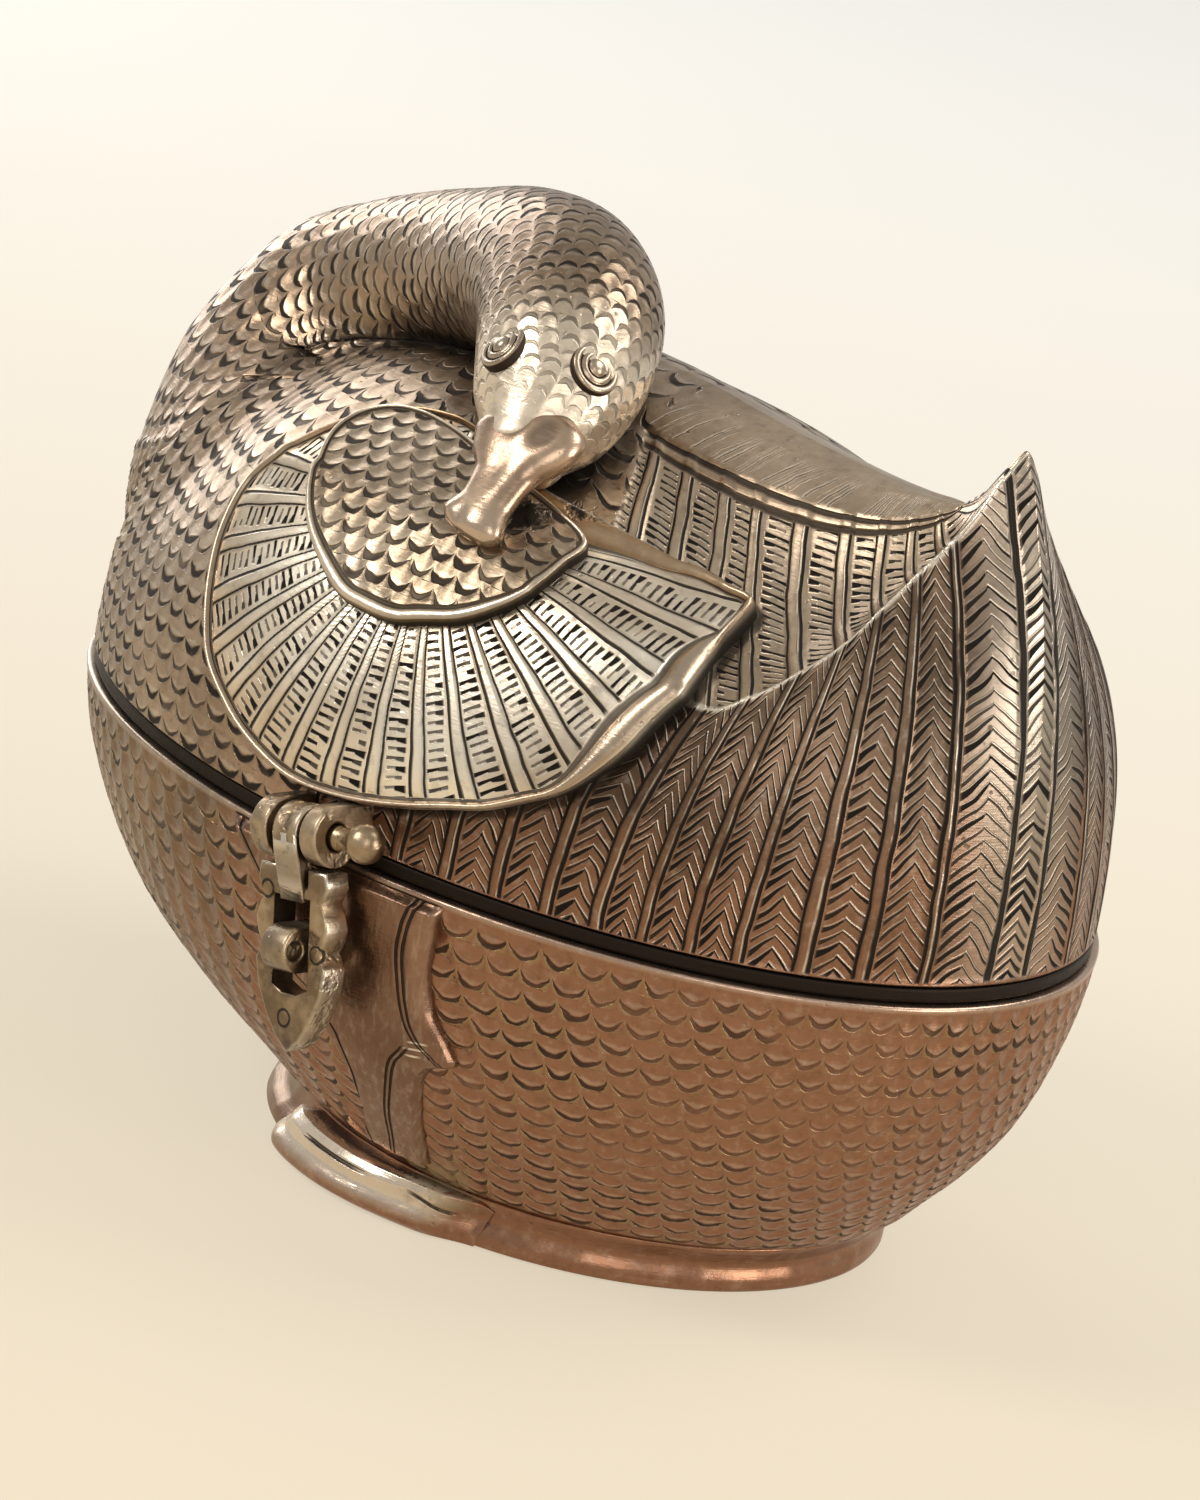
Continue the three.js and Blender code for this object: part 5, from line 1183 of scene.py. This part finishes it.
def makeWing(side, name, node):
    def engraved(flat, inset, axes):
        # feathers spread out from the shoulder disc
        shift = lidPoint(*padMiddle(disc, side)) - lidPoint(*padMiddle(wing, side))
        x, y = (flat[..., k] - shift @ axis for k, axis in enumerate(axes))
        band = np.degrees(np.arctan2(x, -y)) / wing["spread"] + wing["first"]
        column = between(band - np.floor(band), 0.26, 0.32, 0.97, 1.0) * ease(inset, 2.4, 2.9)
        return column * wing["depth"], stacked(band, np.hypot(x, y), inset)

    def groove(around):
        return between(around, *wing["groove"])

    def thick(around):
        roll = between(around, *wing["roll"])
        return mixed(wing["thin"], wing["rollWide"], roll) + wing["grooveWide"] * groove(around)

    quilt = makePad(wing, side, engraved, thick, lambda around: wing["grooveDeep"] * groove(around))
    paint = Paint("castWingBrass" + name[:1])
    band, far, inset = paint.carried("flat")
    inside = inset.ease(2.5, 2.9)
    rungs, lips, halo = barbPattern(paint, band, far, 0.0, 1.15, stripe=0.34, bold=0.18)
    edge = inset.between(0.3, 1.0, 1.3, 2.0)
    # the upper border is a smooth golden groove; the rest of the border is brown, and its crown carries a painted
    # highlight all round
    upper = (1 - band.ease(10.5, 12.5)).most(band.ease(28.0, 30.0))
    # dark: the strokes, the line along the border's inner groove, and painted shade at the border's outer foot
    dark = (rungs * inside).most(inset.near(2.3, 0.10, 0.38) * 0.85).most(1 - inset.ease(0.0, 0.35))
    # painted highlights on the strokes' lips and the border's crown
    shine = (lips * inside * 0.9).most(edge * 0.22)
    smooth = inset.between(0.2, 0.6, 1.9, 2.5)
    base = paint.mix(smooth * 0.9, paint.clouds(*wing["tones"]), wing["rimTone"])
    base = paint.mix(smooth * upper, base, wing["goldTone"])
    finish = castMetal(paint, recess=dark, bright=shine, halo=halo * inside * 0.6, copper=0.1, rough=0.33, base=base,
                       cloudy=0.4, headShading=True)
    finished(quilt.mesh(name), name, "lid", [node], finish)


def makeDisc(side, name, node):
    def engraved(flat, inset, axes):
        scales = planarScales(flat[..., 0], flat[..., 1], disc["scale"], disc["tall"])
        return (1 - scales) * disc["depth"] * ease(inset, 2.2, 2.6), stacked(flat[..., 0], flat[..., 1], inset)

    def thick(around):
        return mixed(disc["thin"], 1.0, between(around, *disc["wide"]))

    quilt = makePad(disc, side, engraved, thick)
    paint = Paint("castDiscBrass" + name[:1])
    u, v, inset = paint.carried("flat")
    down = v / disc["tall"] + scaleShape["offset"]
    own = u / disc["scale"] + (down.floor() * 0.5).part()
    crescent, rim, halo, height, number = scalePattern(paint, own, own + 0.5, down, line=0.10)
    inside = inset.ease(2.1, 2.5)
    border = inset.near(2.0, 0.12, 0.4)
    edge = inset.between(0.2, 0.8, 1.1, 1.7)
    # painted shade at the border's outer foot, where it rises from the body
    sootAndShade = 1 - inset.ease(0.0, 0.4)
    # painted shade in the crescents, painted highlights on the scale rims and the border's crown
    finish = castMetal(paint, recess=(crescent * inside * 0.95).most(border * 0.85).most(sootAndShade),
                       base=paint.clouds(*disc["tones"]),
                       bright=(rim * inside * 0.7).most(edge * 0.6), relief=(height * 0.3 + number * 0.08) * inside,
                       halo=halo * inside * 0.4, copper=0.0, cloudy=0.5, headShading=True)
    finished(quilt.mesh(name), name, "lid", [node], finish)


# bill and eyes
bill = {"halfWidth": 8.2, "halfDepth": 4.4, "round": 0.07,
        "tones": (90.0, 0.35, 0.65, rgb(0.260, 0.170, 0.115), rgb(0.470, 0.340, 0.240)), "rows": [
    (0.186, -0.590, 0.843, 0.62, 0.75), (0.200, -0.640, 0.814, 1.00, 0.95), (0.208, -0.680, 0.783, 0.85, 0.80),
    (0.217, -0.722, 0.744, 0.55, 0.62), (0.223, -0.764, 0.700, 0.50, 0.60), (0.222, -0.795, 0.660, 0.64, 0.66),
    (0.219, -0.812, 0.630, 0.42, 0.42)]}
# how far along the neck the eyes look out, then for each the place that sets its distance, and degrees round the neck
eyes = {"frame": 40 / 44, "places": {"right_eye": (0.917, 56), "left_eye": (0.910, 133)}, "grooves": (2.47, 1.40),
        "profile": [(3.55, -2.4), (3.55, -0.5), (3.5, -0.2), (3.4, 0.02), (3.2, 0.22), (2.95, 0.30), (2.7, 0.22),
                    (2.55, 0.08), (2.38, 0.08), (2.15, 0.34), (1.9, 0.50), (1.65, 0.46), (1.48, 0.24), (1.32, 0.24),
                    (1.12, 0.54), (0.85, 0.76), (0.5, 0.88), (0.2, 0.92), (0.01, 0.92)]}


def makeBill():
    table = np.array(bill["rows"])
    line = sweepLine(table[:, :3] * lidScale + [0, 0, lid["edge"]])
    sizes = curveThrough(np.linspace(0, 1, len(table)), table[:, 3:] * [bill["halfWidth"], bill["halfDepth"]])
    shares = np.linspace(0, 1, 110)
    spots, along = line(shares)
    across = unit(np.array([1.0, 0, 0]) - along * along[:, :1])
    outward = np.cross(across, along)
    angles = circle(120)
    cos, sin = np.cos(angles)[None], np.sin(angles)[None]
    size = sizes(shares)
    # two lobes side by side at the root and again at the tip, a hollow saddle between them
    face = ease(-sin, -0.1, 0.35)
    cleft = (bell(shares - 0.16, 0.10) * 0.34 + bell(shares - 0.86, 0.09) * 0.16)[:, None]
    cleft = cleft * bell(cos + 0.12, 0.26) * face
    hollow = (bell(shares - 0.5, 0.2) * 0.20)[:, None] * bell(cos, 0.5)
    hollow = (hollow + (bell(shares - 0.2, 0.13) * 0.22)[:, None] * bell(cos - 0.5, 0.28)) * face
    swell = 1 - cleft - hollow
    end = np.clip((shares - 1) / bill["round"] + 1, 0, 1)
    blunt = np.sqrt(np.maximum(1 - end ** 2, 0.0004))[:, None]
    points = (spots[:, None] + across[:, None] * (size[:, :1] * cos * blunt)[..., None]
              + outward[:, None] * (size[:, 1:] * sin * swell * blunt)[..., None])
    quilt = Patchwork("hollows")
    quilt.add(points, wrap=True, flip=True, hollows=columnsWrapped(stacked(cleft, hollow, shares[:, None])))
    paint = Paint("polishedBillBrass")
    cleftWire, hollowWire, v = paint.carried("hollows")
    # painted shade in the hollows and the clefts between the lobes
    hollowShade = (cleftWire * 3.0).ease(0.35, 0.95).most(hollowWire.ease(0.10, 0.2) * (1 - v.ease(0.3, 0.4)) * 0.6)
    # painted shade where the bill meets the face
    root = 1 - v.ease(0.03, 0.10)
    # painted highlight towards the tip
    finish = castMetal(paint, recess=(hollowShade * 0.6).most(root * 0.9), bright=(1 - hollowShade) * v.ease(0.6, 0.9) * 0.25,
                       halo=hollowShade * 0.6, copper=0.1, rough=0.27, base=paint.clouds(*bill["tones"]), cloudy=0.2)
    finished(quilt.mesh("bill_cast"), "bill_cast", "lid", ["bill"], finish)


def makeEye(name, share, turn):
    spot, along, across, deep = (part[0] for part in neckAt(np.array([eyes["frame"]])))
    outward = across * math.cos(math.radians(turn)) + deep * math.sin(math.radians(turn))
    seat = spot + outward * neckSize(np.array([share]))[0, 1]
    side = unit(np.cross(along, outward))
    angles = circle(96)
    ring = side * np.cos(angles)[:, None] + unit(np.cross(outward, side)) * np.sin(angles)[:, None]
    radii, heights = np.array(eyes["profile"]).T
    quilt = Patchwork("rings")
    quilt.add(seat + ring * radii[:, None, None] + outward * heights[:, None, None], wrap=True,
              rings=np.broadcast_to(radii[:, None, None], (len(radii), len(angles) + 1, 3)))
    paint = Paint("eyeBrass" + name[:1])
    r = paint.carried("rings")[0]
    outer, inner = eyes["grooves"]
    dark = r.near(outer, 0.04, 0.17).most(r.near(inner, 0.03, 0.15)).most(r.ease(3.4, 3.5))
    finish = castMetal(paint, recess=dark * 0.9, bright=(1 - dark) * 0.35, copper=0.0, rough=0.3, cloudy=0.4)
    finished(quilt.mesh(name), name, "lid", [name.replace("_ring", "")], finish)


lidSkin = makeLid()
makeNeck(lidSkin[::4, ::6])
for sideName, side in (("left", -1), ("right", 1)):
    makeWing(side, sideName + "_wing_cast", sideName + "_wing")
    makeDisc(side, sideName + "_shoulder_disc", sideName + "_shoulder")
makeBill()
for eyeName, (eyeShare, eyeTurn) in eyes["places"].items():
    makeEye(eyeName + "_ring", eyeShare, eyeTurn)
print("lid, neck, wings, bill and eyes made")


# latch and hinge
latch = {"place": (14.8, -61.519, 52.8), "tilt": 12, "pin": 1.5, "ball": 2.6, "pinNose": 8.9, "lugRound": 4.0,
         "lugFrom": 3.2, "lugTo": 6.2, "lugBack": 6.4, "eye": 3.7, "eyeHalf": 2.3, "bore": 1.8,
         "plateBack": 2.2, "plateFront": -1.8, "half": 6.8, "length": 28.5, "slot": (3.3, 8.5, 20.0), "slotTip": 0.9,
         "stapleHalf": 2.3, "stapleMiddle": -15.0, "stapleRound": 3.0, "stapleOut": 4.98, "stapleBack": 5.6,
         "stapleHole": 1.25, "holeAt": -2.8,
         "tones": (120.0, 0.4, 0.6, rgb(0.170, 0.118, 0.070), rgb(0.380, 0.280, 0.175)),
         # down the plate's edge: share of its half width, and height
         "edge": [(0.40, -6.8), (0.40, -4.6), (0.92, -4.6), (0.98, -6.67), (0.80, -8.74), (0.92, -10.12),
                  (1.00, -11.96), (0.93, -13.8), (0.80, -15.18), (0.92, -16.56), (0.97, -17.1), (0.88, -20.5),
                  (0.62, -24.2), (0.30, -27.1)],
         "strap": [(-3.7, 0.0), (-1.5, 0.0), (0.4, -8.5), (-1.8, -8.9), (-2.6, -5.5), (-3.3, -2.6)],
         # punched rings on the plate: across and up, with the rings' radius in metres
         "punched": [(-4.6, -8.0), (5.0, -15.2), (-0.6, -24.2)], "punch": 0.0011,
         # pin from its tail: radius and distance
         "shank": [(0.01, -10.0), (0.5, -9.95), (0.9, -9.7), (1.2, -9.1), (1.4, -8.2), (1.5, -7.0), (1.5, -2.0),
                   (1.5, 3.0), (1.5, 6.4), (1.62, 6.6), (1.62, 6.9), (1.5, 7.1), (1.5, 8.6)]}
hinge = {"place": (14.8, 62.419, 50.5), "knuckle": 3.2, "bore": 1.8, "lidHalf": 4.0, "bowlFrom": 4.3, "bowlTo": 11.3,
         "leaf": -6.4, "leafNear": 1.3, "leafFar": 7.6,
         # half the pin from its end: radius and distance
         "rod": [(0.01, 12.78), (0.9, 12.74), (1.6, 12.6), (2.1, 12.35), (2.36, 12.0), (2.4, 11.7), (2.3, 11.62),
                 (1.6, 11.6), (1.5, 11.5), (1.5, 6.0)]}
tilt = math.radians(latch["tilt"])
latchAxes = np.array([(math.cos(tilt), 0, math.sin(tilt)), (0, 1, 0), (-math.sin(tilt), 0, math.cos(tilt))])
hingeAxes = np.eye(3)
latchPlace, hingePlace = np.array(latch["place"]), np.array(hinge["place"])
# which axes a flat outline is drawn on, and which it is made thick along
sideways, facing = [1, 2, 0], [0, 2, 1]


def arc(y, z, radius, start, end, steps):
    turns = np.radians(np.linspace(start, end, steps))
    return [(y + radius * math.cos(t), z + radius * math.sin(t)) for t in turns]


def bored(y, z, radius):
    return arc(y, z, radius, 360, 15, 24)


def slab(outline, hole, low, high, middle, axes, soft):
    # a flat outline with a hole, made thick along the third axis, its edges rounded
    curve = bpy.data.curves.new("outline", "CURVE")
    curve.dimensions = "2D"
    curve.fill_mode = "BOTH"
    curve.extrude = (high - low) / 2 - soft
    curve.bevel_depth = soft
    curve.bevel_resolution = 3
    curve.offset = -soft
    for loop in filter(None, (outline, hole)):
        spline = curve.splines.new("POLY")
        spline.points.add(len(loop) - 1)
        for point, (a, b) in zip(spline.points, loop):
            point.co = (a, b, 0, 1)
        spline.use_cyclic_u = True
    holder = bpy.data.objects.new("outline", curve)
    bpy.context.collection.objects.link(holder)
    bpy.context.view_layer.update()
    mesh = bpy.data.meshes.new_from_object(holder.evaluated_get(bpy.context.evaluated_depsgraph_get()))
    bpy.data.objects.remove(holder)
    bpy.data.curves.remove(curve)
    spots = np.zeros(len(mesh.vertices) * 3)
    mesh.vertices.foreach_get("co", spots)
    spots = spots.reshape(-1, 3)
    first, second, third = axes
    spots = middle + spots[:, :1] * first + spots[:, 1:2] * second + (spots[:, 2:] + (low + high) / 2) * third
    mesh.vertices.foreach_set("co", place(spots).ravel())
    if np.linalg.det(axes) < 0:
        mesh.flip_normals()
    return mesh


def turnedMesh(profile, middle, axes):
    # profile of radius and distance along the first axis
    angles = circle(64)
    ring = axes[1] * np.cos(angles)[:, None] + axes[2] * np.sin(angles)[:, None]
    quilt = Patchwork()
    quilt.add(np.stack([middle + ring * r + axes[0] * d for r, d in profile]), wrap=True)
    return quilt.mesh("turned")


def joined(name, meshes):
    gathered = bmesh.new()
    for mesh in meshes:
        gathered.from_mesh(mesh)
    whole = bpy.data.meshes.new(name)
    bmesh.ops.recalc_face_normals(gathered, faces=gathered.faces)
    gathered.to_mesh(whole)
    gathered.free()
    for layer in list(whole.uv_layers):
        whole.uv_layers.remove(layer)
    return whole


def wornAndShadedMetal(name, rings=()):
    # latch metal: edges brighter where rubbed, with a painted highlight, painted shade in the corners, punched rings
    # where asked
    paint = Paint(name)
    sharp = paint.node("ShaderNodeNewGeometry", None, out="Pointiness")
    dark = ((1 - sharp.ease(0.42, 0.485)) * 0.8).most(paint.noise(240.0, 3.0, 0.6).ease(0.54, 0.70) * 0.6)
    for spot in rings:
        dark = dark.most(paint.distance(spot).near(latch["punch"], 0.00006, 0.00026) * 0.9)
    return castMetal(paint, recess=dark, bright=sharp.ease(0.51, 0.60) * 0.85, copper=0.0, rough=0.34, cloudy=0.5,
                     base=paint.clouds(*latch["tones"]))


def makeHasp():
    right = [(share * latch["half"], z) for share, z in latch["edge"]]
    outline = right + [(0, -latch["length"])] + [(-x, z) for x, z in right[::-1]]
    wide, high, low = latch["slot"]
    tip = low + latch["slotTip"]
    slot = [(wide, -high), (wide, -low), (wide * 0.4, -tip), (-wide * 0.4, -tip), (-wide, -low), (-wide, -high)]
    plate = slab(outline, slot, latch["plateFront"], latch["plateBack"], latchPlace, latchAxes[facing], 0.45)
    e, b, r = latch["eyeHalf"], latch["bore"], latch["eye"]
    strap = slab(latch["strap"], None, -e, e, latchPlace, latchAxes[sideways], 0.3)
    profile = [(b, -e + 0.2), (b + 0.2, -e), (r - 0.4, -e), (r - 0.1, -e + 0.12), (r, -e + 0.45), (r, -0.6),
               (r - 0.12, -0.3), (r - 0.12, 0.3), (r, 0.6), (r, e - 0.45), (r - 0.1, e - 0.12), (r - 0.4, e),
               (b + 0.2, e), (b, e - 0.2), (b, 0.0), (b, -e + 0.2)]
    barrel = turnedMesh(profile, latchPlace, latchAxes)
    rings = [latchPlace + np.array([x, latch["plateFront"], z]) @ latchAxes for x, z in latch["punched"]]
    mesh = joined("hasp_plate", [plate, strap, barrel])
    finished(mesh, "hasp_plate", "hasp", ["hasp"], wornAndShadedMetal("latchBrass", rings))


def makeLatchMounts():
    r, back = latch["lugRound"], latch["lugBack"]
    shape = [(back, r), (0.0, r)] + arc(0, 0, r, 95, 300, 30) + [(back, 0.8)]
    for name, low in (("hasp_lug_front", -latch["lugTo"]), ("hasp_lug_rear", latch["lugFrom"])):
        high = low + latch["lugTo"] - latch["lugFrom"]
        mesh = slab(shape, bored(0, 0, latch["bore"]), low, high, latchPlace, latchAxes[sideways], 0.35)
        finished(mesh, name + "_cast", "lid", [name], wornAndShadedMetal("lugBrass" + name[-1:]))
    ball = latch["ball"]
    centre, start = latch["pinNose"] + ball, math.asin(latch["pin"] / ball)
    profile = latch["shank"] + [(ball * math.sin(t), centre + ball * math.cos(t))
                                for t in np.linspace(math.pi - start, 0.004, 26)]
    finished(turnedMesh(profile, latchPlace, latchAxes), "hasp_pin_ball", "lid", ["hasp_pin"],
             wornAndShadedMetal("pinBrass"))
    r, middle, back = latch["stapleRound"], latch["stapleMiddle"], latch["stapleBack"]
    front = r - latch["stapleOut"]
    shape = ([(back, middle + r), (front, middle + r)] + arc(front, middle, r, 95, 265, 24)
             + [(front, middle - r), (back, middle - r)])
    hole = bored(latch["holeAt"], middle, latch["stapleHole"])
    mesh = slab(shape, hole, -latch["stapleHalf"], latch["stapleHalf"], latchPlace, latchAxes[sideways], 0.35)
    finished(mesh, "staple_eye", "bowl", ["staple"], wornAndShadedMetal("stapleBrass"))


def makeHinge():
    r, leaf, close, wide = hinge["knuckle"], hinge["leaf"], hinge["leafNear"], hinge["leafFar"]
    low = [(leaf, -wide), (0, -r)] + arc(0, 0, r, -85, 175, 30) + [(-r, 0.0), (leaf, -close)]
    high = [(leaf, close), (-r, 0.0)] + arc(0, 0, r, -175, 85, 30) + [(0, r), (leaf, wide)]
    near, far, half = hinge["bowlFrom"], hinge["bowlTo"], hinge["lidHalf"]
    for name, shape, start, end, body, node, metal in (
            ("front", low, -far, -near, "bowl", "hinge_bowl_lug_front", "knuckleBrassf"),
            ("rear", low, near, far, "bowl", "hinge_bowl_lug_rear", "knuckleBrassr"),
            ("lid", high, -half, half, "lid", "hinge_lid_lug", "knuckleBrassLid")):
        mesh = slab(shape, bored(0, 0, hinge["bore"]), start, end, hingePlace, hingeAxes[sideways], 0.4)
        finished(mesh, "hinge_knuckle_" + name, body, [node], wornAndShadedMetal(metal))
    rod = hinge["rod"]
    profile = [(r, -d) for r, d in rod] + [(rod[-1][0], 0.0)] + rod[::-1]
    finished(turnedMesh(profile, hingePlace, hingeAxes), "hinge_rod", "lid", ["hinge_pin"],
             wornAndShadedMetal("rodBrass"))


makeHasp()
makeLatchMounts()
makeHinge()
print("latch and hinge made")

# floor, backdrop and light
stage = {"cream": rgb(0.840, 0.735, 0.565), "pale": rgb(0.915, 0.897, 0.850), "keep": 0.30, "fade": (-0.25, 1.0),
         "half": 6, "drop": 0.0002, "sky": 0.42, "skySeen": 0.22, "aim": (0.0, 0.0, 0.055),
         "lamps": [  # place in metres, width, height, watts, colour
             ((-0.55, -0.95, 0.95), 0.55, 0.55, 9.6, (1.0, 0.965, 0.92)),
             ((0.95, -0.75, 0.55), 0.5, 0.7, 2.8, (1.0, 0.95, 0.90)),
             ((1.05, 0.30, 0.32), 0.4, 0.5, 4.4, (1.0, 0.97, 0.93)),
             ((0.35, 0.65, 1.0), 0.8, 0.5, 7.0, (1.0, 0.98, 0.95)),
             ((-0.85, 0.25, 0.35), 0.4, 0.6, 3.0, (1.0, 0.97, 0.94))]}


def seenBy(paint):
    # 1 for what the camera and reflections see
    rays = [paint.node("ShaderNodeLightPath", None, out="Is %s Ray" % kind)
            for kind in ("Camera", "Glossy", "Transmission")]
    return rays[0].most(rays[1]).most(rays[2])


def makeStage():
    half, drop = stage["half"], stage["drop"]
    mesh = bpy.data.meshes.new("floor")
    corners = [(-half, -half, -drop), (half, -half, -drop), (half, half, -drop), (-half, half, -drop)]
    mesh.from_pydata(corners, [], [(0, 1, 2, 3)])
    floor = bpy.data.objects.new("floor", mesh)
    bpy.context.collection.objects.link(floor)
    paint = Paint("paleFloor")
    x, y, _ = paint.split(paint.where())
    a = math.radians(view["azimuth"])
    depth = y * math.cos(a) - x * math.sin(a)
    tone = paint.mix(depth.ease(*stage["fade"]), stage["cream"], stage["pale"])
    # seen, it is the plain tone, with part of the real light left in it
    lit = paint.node("ShaderNodeBsdfDiffuse", None, {"Color": tone})
    glow = paint.node("ShaderNodeEmission", None, {"Color": tone, "Strength": 1.0})
    surface = paint.node("ShaderNodeMixShader", None, [seenBy(paint) * (1 - stage["keep"]), lit, glow])
    paint.node("ShaderNodeOutputMaterial", None, {"Surface": surface})
    mesh.materials.append(paint.material)
    world = bpy.data.worlds.new("backdrop")
    bpy.context.scene.world = world
    world.use_nodes = True
    sky = Paint("sky", world.node_tree)
    strength = stage["sky"] + seenBy(sky) * stage["skySeen"]
    back = sky.node("ShaderNodeBackground", None, {"Color": stage["pale"], "Strength": strength})
    sky.node("ShaderNodeOutputWorld", None, {"Surface": back})
    for k, (spot, wide, high, watts, colour) in enumerate(stage["lamps"]):
        data = bpy.data.lights.new("lamp%d" % k, "AREA")
        data.shape = "RECTANGLE"
        data.size, data.size_y, data.energy, data.color = wide, high, watts, colour
        lamp = bpy.data.objects.new("lamp%d" % k, data)
        aim = Vector(stage["aim"]) - Vector(spot)
        lamp.matrix_world = Matrix.Translation(spot) @ aim.to_track_quat("-Z", "Y").to_matrix().to_4x4()
        bpy.context.collection.objects.link(lamp)
    bpy.context.scene.view_settings.view_transform = "Standard"


makeStage()
bpy.context.view_layer.update()
